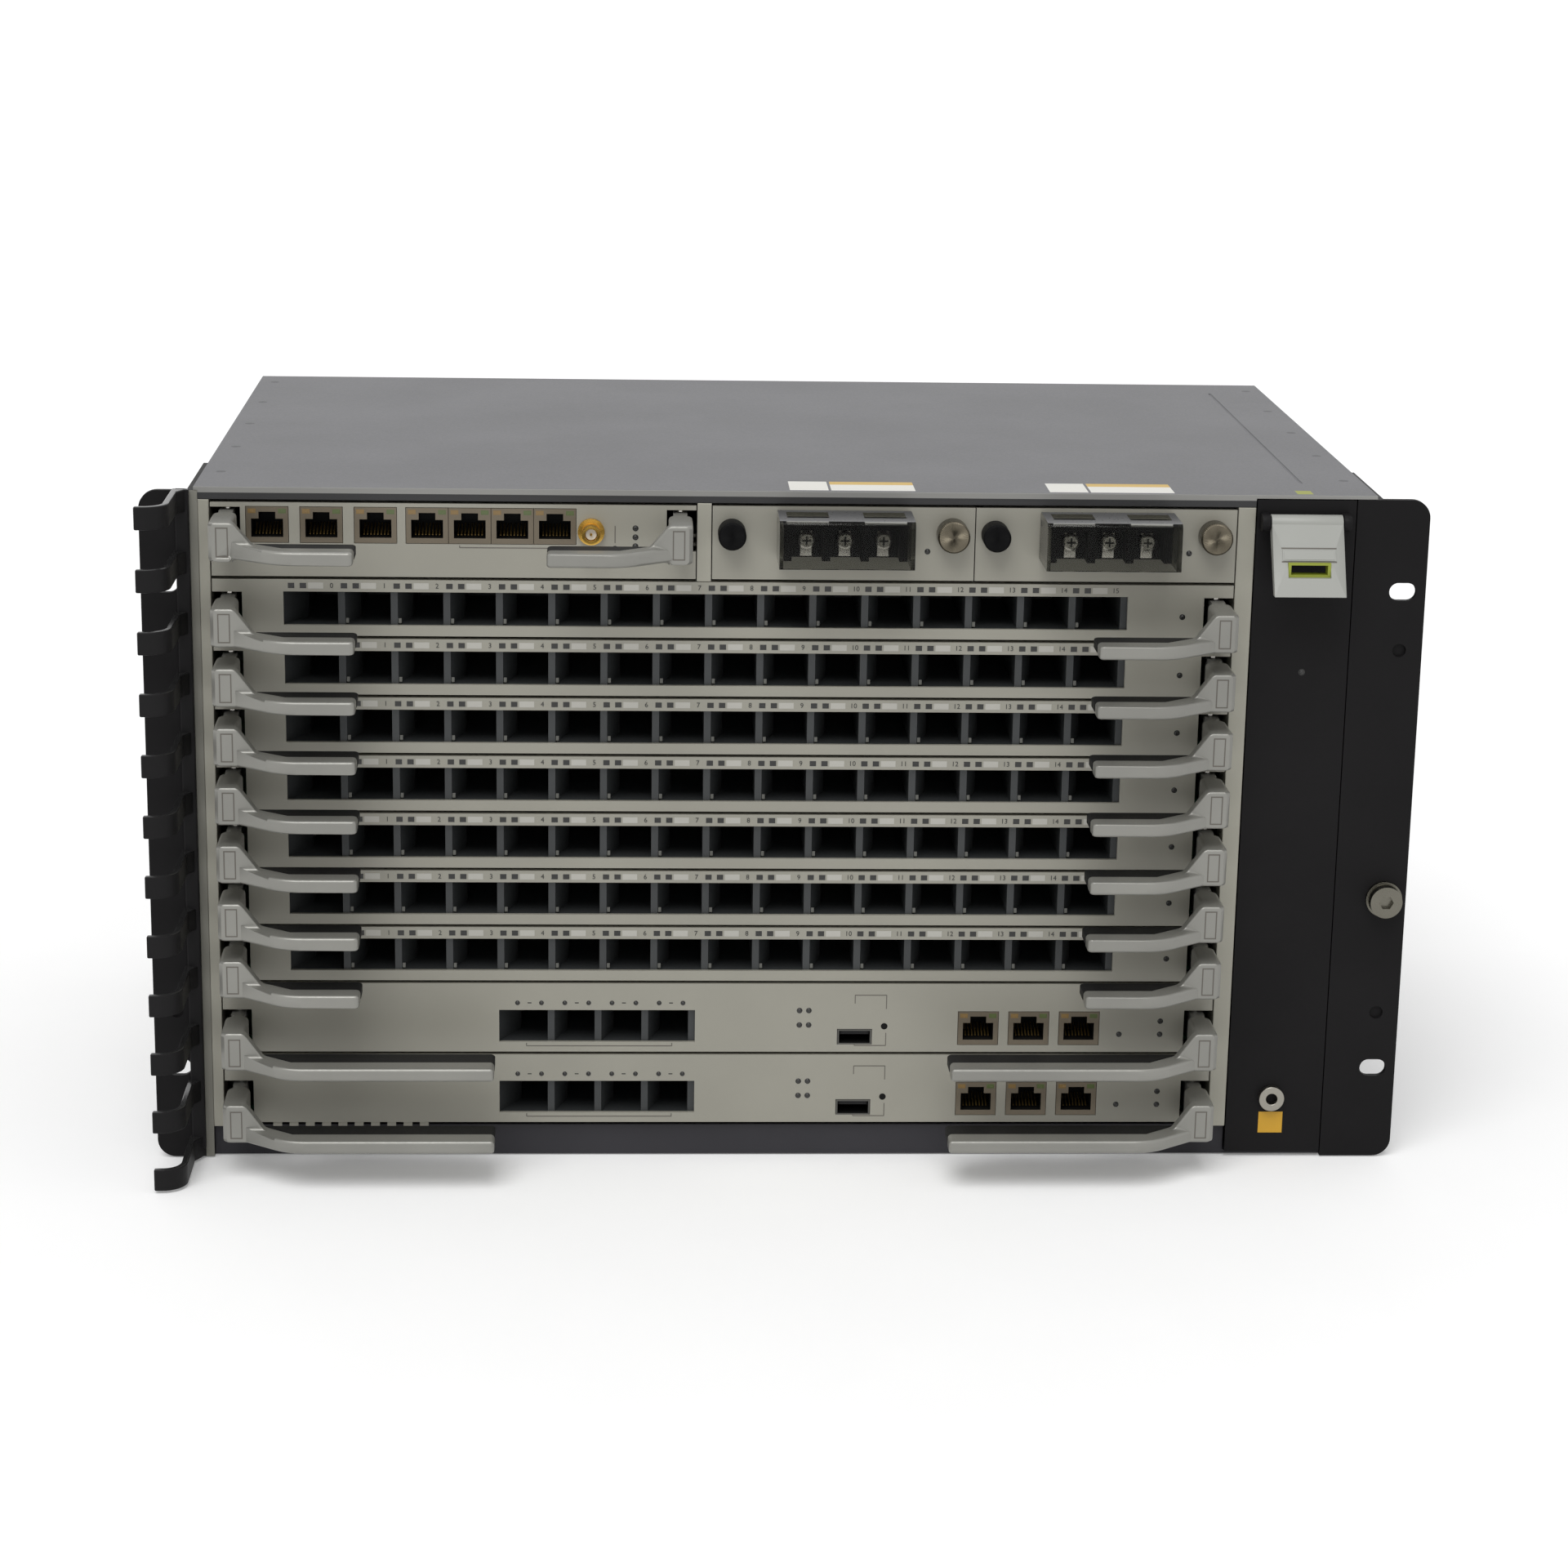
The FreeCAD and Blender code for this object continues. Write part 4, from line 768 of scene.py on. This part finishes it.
# What is printed and fitted on the service cards
PORTS = 16
PORT_PITCH = 19.6
PORT_START = 31.5
PORT_DROP = 2.3
WINDOW_ASIDE = 2.2
WINDOW_SIZE = (2.4, 2.0)
FIELD_ASIDE = 6.9
FIELD_SIZE = (5.6, 2.3)
NUMBER_ASIDE = 12.8
NUMBER_HEIGHT = 2.7
TAB_ASIDE = 1.2
TAB_RISE = 4.6
TAB_STRIPS = ((1.1, (1.6, 0), (2.0, 1.4), 0.4), (0.8, (2.0, 1.4), (5, 0.6), 0.3))
END_LAMP_INSET = 19
END_LAMP_RISE = 9.2


def dress_service(node):
    low, high = corners(node)
    z = high.z - PORT_DROP
    ports = [low.x + PORT_START + PORT_PITCH * n for n in range(PORTS)]

    def windows(bm):
        for x in ports:
            for side in SIDES:
                add_mark(bm, x + side * WINDOW_ASIDE, z, *WINDOW_SIZE)

    def fields(bm):
        for x in ports:
            add_mark(bm, x + FIELD_ASIDE, z, *FIELD_SIZE)

    def numbers(bm):
        for number, x in enumerate(ports):
            add_number(bm, number, x + NUMBER_ASIDE, z, NUMBER_HEIGHT)

    def tabs(bm):
        for x in ports[1:]:
            add_spring(bm, x - TAB_ASIDE, low.z + TAB_RISE, TAB_STRIPS)

    def lamp(bm):
        add_lamp(bm, high.x - END_LAMP_INSET, low.z + END_LAMP_RISE)
    piece(named("status_windows", node), node, "led", windows)
    piece(named("port_fields", node), node, "pale_ink", fields)
    piece(named("port_numbers", node), node, "ink", numbers)
    piece(named("spring_tabs", node), node, "tab", tabs)
    piece(named("end_lamp", node), node, "led", lamp)


# What is fitted in the network jacks
CONTACTS = 8
CONTACT_PITCH = 1.27
CONTACT_WIDTH = 0.5
CONTACT_THICK = 0.3
CONTACT_START = (3.5, 2.5)
CONTACT_END = (10, 5.6)
LENS_ASIDE = 5.6
LENS_DROP = 1.6
LENS_RIM = (2.9, 1.7)
LENS_SIZE = (2.2, 1.0)


def fit_jacks(node):
    jacks = sockets(node, "jack")

    def contacts(bm):
        strip = (CONTACT_WIDTH, CONTACT_START, CONTACT_END, CONTACT_THICK)
        for low, high in jacks:
            middle = (low.x + high.x) / 2
            for n in range(CONTACTS):
                add_spring(bm, middle + CONTACT_PITCH * (n - (CONTACTS - 1) / 2), low.z, [strip])

    def lenses(side):
        def draw(bm):
            for low, high in jacks:
                x = (low.x + high.x) / 2 + side * LENS_ASIDE
                z = high.z - LENS_DROP
                add_mark(bm, x, z, *LENS_RIM)
                add_mark(bm, x, z, *LENS_SIZE, FRONT_MM - PRINT)
        return draw
    piece(named("jack_contacts", node), node, "contact", contacts)
    piece(named("amber_lenses", node), node, "amber_lens", lenses(-1))
    piece(named("green_lenses", node), node, "green_lens", lenses(1))


# What is printed and fitted on the control cards, heights from CONTROL_FOOT below the panel
CONTROL_FOOT = 0.6
CONTROL_LAMPS = ((7.1, 17.5), (10.7, 17.5), (7.1, 11.6), (10.7, 11.6), (131.9, 7.9), (147.9, 13.3),
                 (147.9, 7.9))
CONTROL_LINES = ((-98.5, -42.3, 3.0, 1.2, 1.2), (28.6, 40.8, 23.8, -3.4, -5.6), (28.6, 40.8, 3.2, 0.6, 5.2))
CONTROL_BAYS = 4
BAY_START = -97.3
BAY_PITCH = 18.2
BAY_DOT_RISE = 20.5
BAY_DASH = (1.5, 0.4)
BAY_DOT_ASIDE = 4.6
BAY_DOT_RADIUS = 0.75
RESET_X = 40.1
RESET_RISE = 11.1
RESET_SIDES = 20
RESET_HOLE = ((0.9, -0.05), (1.3, -0.05), (1.3, 0.1))
TONGUE_RISE = 0.7
TONGUE_HALF = 5.6
TONGUE_DEPTH = (1.5, 13)
TONGUE_THICK = 1.7
TONGUE_TIP_HALF = 5.0
TONGUE_TIP = 1.0
TONGUE_TIP_INSET = 0.2


def dress_control(node):
    base = corners(node)[0].z - CONTROL_FOOT
    usb_low, usb_high = sockets(node, "shield")[0]

    def lamps(bm):
        for x, rise in CONTROL_LAMPS:
            add_lamp(bm, x, base + rise)

    def lines(bm):
        for x0, x1, rise, left, right in CONTROL_LINES:
            add_bracket(bm, x0, x1, base + rise, left, right)

    def dots(bm):
        z = base + BAY_DOT_RISE
        for n in range(CONTROL_BAYS):
            x = BAY_START + BAY_PITCH * n
            add_mark(bm, x, z, *BAY_DASH)
            for side in SIDES:
                add_lamp(bm, x + side * BAY_DOT_ASIDE, z, BAY_DOT_RADIUS)

    # Dark plug standing for the reset hole: painted shade
    def reset(bm):
        add_turned(bm, RESET_X, FRONT_MM, base + RESET_RISE, RESET_HOLE, RESET_SIDES)

    def tongue(bm):
        x = (usb_low.x + usb_high.x) / 2
        z = (usb_low.z + usb_high.z) / 2 + TONGUE_RISE
        start, end = (FRONT_MM + depth for depth in TONGUE_DEPTH)
        tip = (z + TONGUE_TIP_INSET, z + TONGUE_THICK - TONGUE_TIP_INSET)
        add_box(bm, (x - TONGUE_HALF, x + TONGUE_HALF), (start, end), (z, z + TONGUE_THICK))
        add_box(bm, (x - TONGUE_TIP_HALF, x + TONGUE_TIP_HALF), (FRONT_MM + TONGUE_TIP, start), tip)
    piece(named("status_lamps", node), node, "led", lamps)
    piece(named("panel_lines", node), node, "line", lines)
    piece(named("bay_dots", node), node, "led", dots)
    piece(named("reset_hole", node), node, "hollow", reset)
    piece(named("usb_tongue", node), node, "black_plastic", tongue)
    fit_jacks(node)


# What is printed and fitted on the interface card
INTERFACE_LAMPS = ((-65.1, 241.6), (-57.5, 242.6), (-57.5, 246.0), (-57.5, 249.4))
INTERFACE_LINE = (-65.1, 247.0)
INTERFACE_LINE_HEIGHT = 6.5
GANG = 4
GANG_LINE_DROP = 1.5
GANG_LINE_INSET = 4
GANG_LINE_RISE = 0.8
COAX_INSULATOR = ((0.7, 1.6), (2.0, 1.4), (2.3, 2.0), (2.3, 6.0))
COAX_PIN = ((0.3, 0.5), (0.5, 0.9), (0.5, 5.0))


def dress_interface(node):
    low, high = sockets(node, "gold")[0]
    x = (low.x + high.x) / 2
    z = (low.z + high.z) / 2
    gang = sockets(node, "jack")[-GANG:]

    def lamps(bm):
        for place in INTERFACE_LAMPS:
            add_lamp(bm, *place)

    def lines(bm):
        left = gang[1][0].x + GANG_LINE_INSET
        right = gang[-1][1].x - GANG_LINE_INSET
        add_bracket(bm, left, right, gang[0][0].z - GANG_LINE_DROP, GANG_LINE_RISE, GANG_LINE_RISE)
        add_mark(bm, *INTERFACE_LINE, PRINT_LINE, INTERFACE_LINE_HEIGHT)

    def insulator(bm):
        add_turned(bm, x, low.y, z, COAX_INSULATOR)

    def pin(bm):
        add_turned(bm, x, low.y, z, COAX_PIN, SMALL_SIDES)
    piece(named("status_lamps", node), node, "led", lamps)
    piece(named("panel_lines", node), node, "line", lines)
    piece("coax_insulator", node, "white_plastic", insulator)
    piece("coax_pin", node, "gold", pin)
    fit_jacks(node)


# What is soldered on the boards, each kind of component with its sizes
CELL = 33.0
BOARD_MARGIN = 12.0
BANK_ROOM = 72.0
PLUG_ROOM = 24.0
SINK, CANS = 0, 3
SQUARE_CHIPS = (1, 4)
LONG_CHIPS = (2, 5)
KINDS = 7
CHIP_EDGE = 0.15
SQUARE_CHIP = ((20, 20, 2.0), (17, 17, 2.3))
SQUARE_LEGS = 9
SQUARE_LEG_PITCH = 2
SQUARE_LEG_OUT = 10.8
SQUARE_LEG = (0.8, 1.8, 0.7)
SQUARE_LEG_ACROSS = (1.8, 0.8, 0.7)
LONG_CHIP = (7.5, 18, 1.6)
LONG_CHIP_ASIDE = 8
LONG_LEGS = 8
LONG_LEG_PITCH = 2.2
LONG_LEG_ROWS = (-12.4, -3.6, 3.6, 12.4)
LONG_LEG = (1.6, 0.9, 0.6)
SINK_CHIP = (23, 23, 2.0)
SINK_BASE = (30, 30, 1.4)
SINK_FINS = 11
SINK_FIN_PITCH = 2.9
SINK_FIN = (0.9, 30, 5.6)
CAN_PITCH = 11
CAN_FOOT = (8.6, 8.6, 0.9)
CAN_RADIUS = 4.0
CAN_HEIGHT = 7.5
CAN_SIDES = 18
CAN_TAPER = 0.94
CAN_CAP_SHARE = 0.8
CAN_CAP_RISE = 0.4


def board_cells(node):
    """Kind and middle of each place on a board that is free for components."""
    low, high = sockets(node, "board")[0]
    x0, x1 = low.x + BOARD_MARGIN, high.x - BOARD_MARGIN
    y0, y1 = FRONT_MM + BANK_ROOM, high.y - PLUG_ROOM
    columns = int((x1 - x0) / CELL)
    rows = int((y1 - y0) / CELL)
    for row in range(rows):
        for column in range(columns):
            x = x0 + (x1 - x0) * (column + 0.5) / columns
            y = y0 + (y1 - y0) * (row + 0.5) / rows
            yield (2 * column + 3 * row) % KINDS, x, y, high.z


def evenly(count, pitch):
    """Evenly spaced offsets about zero."""
    return [pitch * (n - (count - 1) / 2) for n in range(count)]


def add_can(bm, x, y, z):
    """Round can with a rolled rim."""
    for radius, height in ((CAN_RADIUS, CAN_HEIGHT), (CAN_RADIUS * CAN_CAP_SHARE, CAN_HEIGHT + CAN_CAP_RISE)):
        place = Matrix.Translation((x, y, z + height / 2))
        bmesh.ops.create_cone(bm, cap_ends=True, segments=CAN_SIDES, radius1=radius,
                              radius2=radius * CAN_TAPER, depth=height, matrix=place)


def fit_components(node):
    cells = list(board_cells(node))

    def chips(bm):
        for kind, x, y, z in cells:
            if kind in SQUARE_CHIPS:
                for size in SQUARE_CHIP:
                    add_block(bm, x, y, z, *size)
            elif kind in LONG_CHIPS:
                for side in SIDES:
                    add_block(bm, x + side * LONG_CHIP_ASIDE, y, z, *LONG_CHIP)
            elif kind == SINK:
                add_block(bm, x, y, z, *SINK_CHIP)
            elif kind == CANS:
                for n in THREE:
                    add_block(bm, x + CAN_PITCH * n, y, z, *CAN_FOOT)

    def metal(bm):
        for kind, x, y, z in cells:
            if kind in SQUARE_CHIPS:
                for along in evenly(SQUARE_LEGS, SQUARE_LEG_PITCH):
                    for out in (-SQUARE_LEG_OUT, SQUARE_LEG_OUT):
                        add_block(bm, x + along, y + out, z, *SQUARE_LEG)
                        add_block(bm, x + out, y + along, z, *SQUARE_LEG_ACROSS)
            elif kind in LONG_CHIPS:
                for along in evenly(LONG_LEGS, LONG_LEG_PITCH):
                    for row in LONG_LEG_ROWS:
                        add_block(bm, x + row, y + along, z, *LONG_LEG)
            elif kind == SINK:
                base = z + SINK_CHIP[2]
                add_block(bm, x, y, base, *SINK_BASE)
                for across in evenly(SINK_FINS, SINK_FIN_PITCH):
                    add_block(bm, x + across, y, base + SINK_BASE[2], *SINK_FIN)
            elif kind == CANS:
                for n in THREE:
                    add_can(bm, x + CAN_PITCH * n, y, z + CAN_FOOT[2])
    piece(named("chips", node), node, "black_plastic", chips, CHIP_EDGE)
    piece(named("metal_parts", node), node, "fin", metal)


# What is fitted on the power cards
TERMINAL_PITCH = 43.0 / 3
TERMINAL_SEAT = 6
TERMINAL_RISE = 7
TERMINAL_EDGE = 0.1
LUG_HALF = 2.2
LUG_DEPTH = (0.9, 0.02)
LUG_HEIGHT = (-6.4, 3.2)
SCREW_FACE = 4.4
SCREW = ((2.4, -4.4), (3.2, -4.0), (3.3, -0.9), (3.3, -0.5))
CROSS_LONG = 3.4
CROSS_WIDE = 0.7
POWER_LAMP_INSET = 17.6
POWER_LAMP_Z = 241.4


def dress_power(node):
    high = corners(node)[1]
    blocks = [ends for ends in sockets(node, "black_plastic") if ends[0].y < FRONT_MM - PROUD]
    block_low, block_high = blocks[0]
    middle = (block_low.x + block_high.x) / 2
    places = [middle + n * TERMINAL_PITCH for n in THREE]
    seat = FRONT_MM - TERMINAL_SEAT
    z = block_low.z + TERMINAL_RISE

    def screws(bm):
        for x in places:
            add_box(bm, (x - LUG_HALF, x + LUG_HALF), [seat - depth for depth in LUG_DEPTH],
                    [z + rise for rise in LUG_HEIGHT])
            add_turned(bm, x, seat, z, SCREW)

    # Flat dark crosses on the screw faces: painted shade in their cross recesses
    def crosses(bm):
        for x in places:
            add_mark(bm, x, z, CROSS_LONG, CROSS_WIDE, seat - SCREW_FACE)
            add_mark(bm, x, z, CROSS_WIDE, CROSS_LONG, seat - SCREW_FACE)

    def lamp(bm):
        add_lamp(bm, high.x - POWER_LAMP_INSET, POWER_LAMP_Z)
    piece(named("terminal_screws", node), node, "nickel", screws, TERMINAL_EDGE)
    piece(named("terminal_cross_shade", node), node, "ink", crosses)
    piece(named("power_lamp", node), node, "led", lamp)


# What is fitted on the levers
LABEL_INSET = 5.2
LABEL_RISE = 7.3
LABEL_SIZE = (4.6, 11.0)
LABEL_LINE = 0.45
LEVER_FACE = 25.4


def dress_lever(node):
    low, high = corners(node)
    x = low.x + LABEL_INSET if "_left" in node else high.x - LABEL_INSET

    def label(bm):
        add_outline(bm, x, low.z + LABEL_RISE, *LABEL_SIZE, LABEL_LINE, FRONT_MM - LEVER_FACE)
    piece(named("label_frame", node), node, "line", label)


# What is fitted on the fan tray; a slab has half a width, the drops of its edges and a lift
HINGE_DROP = 3.2
LEAF_START = 7.0
LEAF_LEAN = 13.0 / 25.0
SLAB_SINK = 0.05
SLAB_EDGE = 0.1
PANEL_SLABS = ((10, 8.6, 12.4, 0.35), (9.4, 9.0, 12.0, 0.5))
# Dark strips across the handle front stand for its grooves: painted shade
GROOVE_SHADE_SLABS = ((10.4, 7.9, 8.4, 0.02), (10.4, 12.6, 13.1, 0.02))
SLEEVE_RISE = 6.5
SLEEVE_DEPTH = (14.9, 9.8)
SLEEVE_HALF = 8.0
SLEEVE_INNER = 6.9
SLEEVE_HEIGHT = 5.5
SLEEVE_WALL = 0.9
FAN_LAMP = (195.7, 195.8)
FAN_LAMP_RADIUS = 1.0
FAN_FIELD = (193.2, 14.0)
FAN_FIELD_SIZE = (9.5, 8.7)
FAN_FIELD_LINE = 0.4


def leaf(x, drop, lift):
    """Point on the front of the fan handle: drop is the distance below its hinge."""
    hinge_z = corners("fan_handle")[1].z - HINGE_DROP
    return Vector((x, FRONT_MM - LEAF_START - LEAF_LEAN * drop - lift, hinge_z - drop))


def add_slab(bm, middle, half, top, bottom, lift):
    """Thin raised plate on the front of the fan handle."""
    left, right = middle - half, middle + half
    rim = [(left, top), (right, top), (right, bottom), (left, bottom)]
    back = [bm.verts.new(leaf(x, drop, -SLAB_SINK)) for x, drop in rim]
    front = [bm.verts.new(leaf(x, drop, lift)) for x, drop in rim]
    bm.faces.new(front)
    bm.faces.new(list(reversed(back)))
    for i in range(4):
        j = (i + 1) % 4
        bm.faces.new((back[i], back[j], front[j], front[i]))


def dress_fan():
    low, high = corners("fan_handle")
    middle = (low.x + high.x) / 2

    def slabs(sizes):
        def draw(bm):
            for size in sizes:
                add_slab(bm, middle, *size)
        return draw

    def sleeve(bm):
        y = [FRONT_MM - depth for depth in SLEEVE_DEPTH]
        foot = low.z + SLEEVE_RISE
        top = foot + SLEEVE_HEIGHT
        for side in SIDES:
            x = sorted((middle + side * SLEEVE_HALF, middle + side * SLEEVE_INNER))
            add_box(bm, x, y, (foot, top))
        across = (middle - SLEEVE_INNER, middle + SLEEVE_INNER)
        add_box(bm, across, y, (foot, foot + SLEEVE_WALL))
        add_box(bm, across, y, (top - SLEEVE_WALL, top))

    def lamp(bm):
        add_lamp(bm, *FAN_LAMP, FAN_LAMP_RADIUS)

    def field(bm):
        add_mark(bm, *FAN_FIELD, *FAN_FIELD_SIZE)
        add_outline(bm, *FAN_FIELD, *FAN_FIELD_SIZE, FAN_FIELD_LINE, FRONT_MM - PRINT)
    piece("handle_panel", "fan_handle", "pale", slabs(PANEL_SLABS), SLAB_EDGE)
    # Painted shade in the handle's grooves
    piece("handle_groove_shade", "fan_handle", "line", slabs(GROOVE_SHADE_SLABS))
    piece("handle_sleeve", "fan_handle", "lime", sleeve)
    piece("fan_lamp", "fan_tray", "led", lamp)
    piece("fan_field", "fan_tray", "amber", field)


# What is fitted on the chassis: gasket springs on the base and screws on the side walls
GASKET_FINGERS = 10
GASKET_START = -195
GASKET_PITCH = 6.3
GASKET_STRIPS = ((3.4, (0.6, 12.2), (1.0, 13.5), 0.3), (3.4, (1.0, 13.5), (6.0, 12.9), 0.25))
SIDE_SCREWS = [(y, z) for y in (-122, -88) for z in (30, 132, 234)]
SIDE_SCREWS += [(y, z) for y in (0, 120) for z in (8, 256)]
SIDE_SCREW = ((1.4, -1.2), (2.4, -0.9), (3.0, -0.3), (3.0, 0.2))
SIDE_SCREW_SIDES = 20
SIDE_CROSS_LONG = (-1.6, 1.6)
SIDE_CROSS_WIDE = (-0.3, 0.3)
SIDE_CROSS_DEPTH = (-1.25, -1.0)


def add_side_screw(bm, side, x, y, z):
    """Low domed screw head with a cross, on a side wall."""
    start = len(bm.verts)
    add_turned(bm, 0, 0, 0, SIDE_SCREW, SIDE_SCREW_SIDES)
    add_box(bm, SIDE_CROSS_LONG, SIDE_CROSS_DEPTH, SIDE_CROSS_WIDE)
    add_box(bm, SIDE_CROSS_WIDE, SIDE_CROSS_DEPTH, SIDE_CROSS_LONG)
    bm.verts.ensure_lookup_table()
    turn = Matrix.Rotation(side * math.pi / 2, 4, "Z")
    bmesh.ops.transform(bm, matrix=Matrix.Translation((x, y, z)) @ turn, verts=bm.verts[start:])


def dress_chassis():
    wall = corners("right_wall")[1].x

    def fingers(bm):
        for n in range(GASKET_FINGERS):
            add_spring(bm, GASKET_START + GASKET_PITCH * n, 0, GASKET_STRIPS)

    def side_screws(side):
        def draw(bm):
            for y, z in SIDE_SCREWS:
                add_side_screw(bm, side, side * wall, y, z)
        return draw
    piece("gasket_fingers", "chassis", "post", fingers)
    piece("side_screws_left", "chassis", "black_plastic", side_screws(-1))
    piece("side_screws_right", "chassis", "black_plastic", side_screws(1))


# Fibre comb with broad fingers that turn outwards just past the ear
FINGERS = 12
FINGER_PITCH = 23.1
FINGER_HEIGHT = 8.6
FINGER_THICK = 2.4
FINGER_TURN = 9.0
FINGER_ROOT = 7.0
FINGER_ASIDE = 3.8
FINGER_TIP = -238.1
SPINE_WIDTH = 5.2
SPINE_THICK = 2.5
TURN_STEPS = 14
COMB_EDGE = 0.5
LEVEL = 0.9


def finger_outline(low, high):
    """Points of a finger seen from above: its root, the run forward and the turn to its tip."""
    run = high.x - FINGER_ASIDE
    middle = Vector((run - FINGER_TURN, low.y + FINGER_TURN))
    angles = [-math.pi / 2 * n / TURN_STEPS for n in range(TURN_STEPS + 1)]

    def bend(radius):
        return [middle + radius * Vector((math.cos(a), math.sin(a))) for a in angles]
    outer = bend(FINGER_TURN)
    inner = bend(FINGER_TURN - FINGER_THICK)
    tip = [Vector((FINGER_TIP, low.y)), Vector((FINGER_TIP, low.y + FINGER_THICK))]
    root = [Vector((run - FINGER_THICK, high.y)), Vector((high.x, high.y)),
            Vector((run, high.y - FINGER_ROOT))]
    return root + outer + tip + inner[::-1]


def replace_comb():
    low, high = corners("cable_comb")
    outline = finger_outline(low, high)

    def draw(bm):
        add_box(bm, (high.x - SPINE_WIDTH, high.x), (high.y - SPINE_THICK, high.y), (low.z, high.z))
        for n in range(FINGERS):
            top = high.z - n * FINGER_PITCH
            lower = [bm.verts.new((*p, top - FINGER_HEIGHT)) for p in outline]
            upper = [bm.verts.new((*p, top)) for p in outline]
            bm.faces.new(lower)
            bm.faces.new(upper[::-1])
            for i, start in enumerate(lower):
                j = (i + 1) % len(lower)
                bm.faces.new((start, upper[i], upper[j], lower[j]))
        bmesh.ops.recalc_face_normals(bm, faces=bm.faces)
    comb = piece("comb_fingers", "chassis", "comb", draw, COMB_EDGE)
    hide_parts("cable_comb")
    # Upward faces of the fingers take the lighter copy, a painted highlight along their tops
    comb.data.materials.append(LOOKS["comb_lit_top"])
    for face in comb.data.polygons:
        face.material_index = int(face.normal.z > LEVEL)


def fit_pieces():
    for node in SERVICE:
        dress_service(node)
    for node in CONTROL:
        dress_control(node)
    dress_interface("interface_card")
    for node in POWER:
        dress_power(node)
    for node in LEVERS:
        dress_lever(node)
    for node in SERVICE + CONTROL + POWER + ["interface_card"]:
        fit_components(node)
    dress_fan()
    dress_chassis()
    replace_comb()


# Stage: floor, light and camera
FLOOR_HALF = 40
FLOOR_DROP = 0.5
FLOOR_GLOW = 0.15
SKY_LIGHT = 0.55
SUN_STRENGTH = 1.6
SUN_SIZE = math.radians(40)
SUN_TURN = (math.radians(32), 0, math.radians(-18))
WHITE = (1, 1, 1, 1)


def seen(tree):
    """1 for rays that see the background, straight, mirrored or through plastic, and 0 for its light."""
    rays = tree.nodes.new("ShaderNodeLightPath")
    factor = rays.outputs["Is Camera Ray"]
    for kind in ("Is Glossy Ray", "Is Transmission Ray"):
        factor = maths(tree, "MAXIMUM", factor, rays.outputs[kind])
    return factor


def make_floor():
    bm = bmesh.new()
    bmesh.ops.create_grid(bm, x_segments=1, y_segments=1, size=FLOOR_HALF)
    mesh = bpy.data.meshes.new("floor")
    bm.to_mesh(mesh)
    bm.free()
    floor = bpy.data.objects.new("floor", mesh)
    bpy.context.scene.collection.objects.link(floor)
    floor.location.z = -FLOOR_DROP * MM
    paper = coated("floor_paper", (0.93, 0.93, 0.93), 0.005, 0.8, 200, 0.01)
    tree = paper.node_tree
    bsdf = tree.nodes["Principled BSDF"]
    bsdf.inputs["Emission Color"].default_value = WHITE
    tree.links.new(spread(tree, seen(tree), 0, FLOOR_GLOW), bsdf.inputs["Emission Strength"])
    mesh.materials.append(paper)


def make_light():
    world = bpy.data.worlds.new("studio")
    bpy.context.scene.world = world
    world.use_nodes = True
    tree = world.node_tree
    sky = tree.nodes["Background"]
    tree.links.new(spread(tree, seen(tree), SKY_LIGHT, 1), sky.inputs["Strength"])
    sky.inputs["Color"].default_value = WHITE
    sun = bpy.data.lights.new("soft_sun", "SUN")
    sun.energy = SUN_STRENGTH
    sun.angle = SUN_SIZE
    lamp = bpy.data.objects.new("soft_sun", sun)
    lamp.rotation_euler = SUN_TURN
    bpy.context.scene.collection.objects.link(lamp)


def make_camera():
    lens = bpy.data.cameras.new("camera")
    lens.lens = CAMERA_LENS
    camera = bpy.data.objects.new("camera", lens)
    turn = Matrix.Rotation(math.radians(CAMERA_YAW), 4, "Z")
    tilt = Matrix.Rotation(math.radians(CAMERA_PITCH), 4, "X")
    roll = Matrix.Rotation(math.radians(CAMERA_ROLL), 4, "Z")
    camera.matrix_world = Matrix.Translation(CAMERA_PLACE) @ turn @ tilt @ roll
    bpy.context.scene.collection.objects.link(camera)
    bpy.context.scene.camera = camera


dress_frame()
fit_pieces()
make_floor()
make_light()
make_camera()
bpy.context.scene.view_settings.view_transform = "Standard"
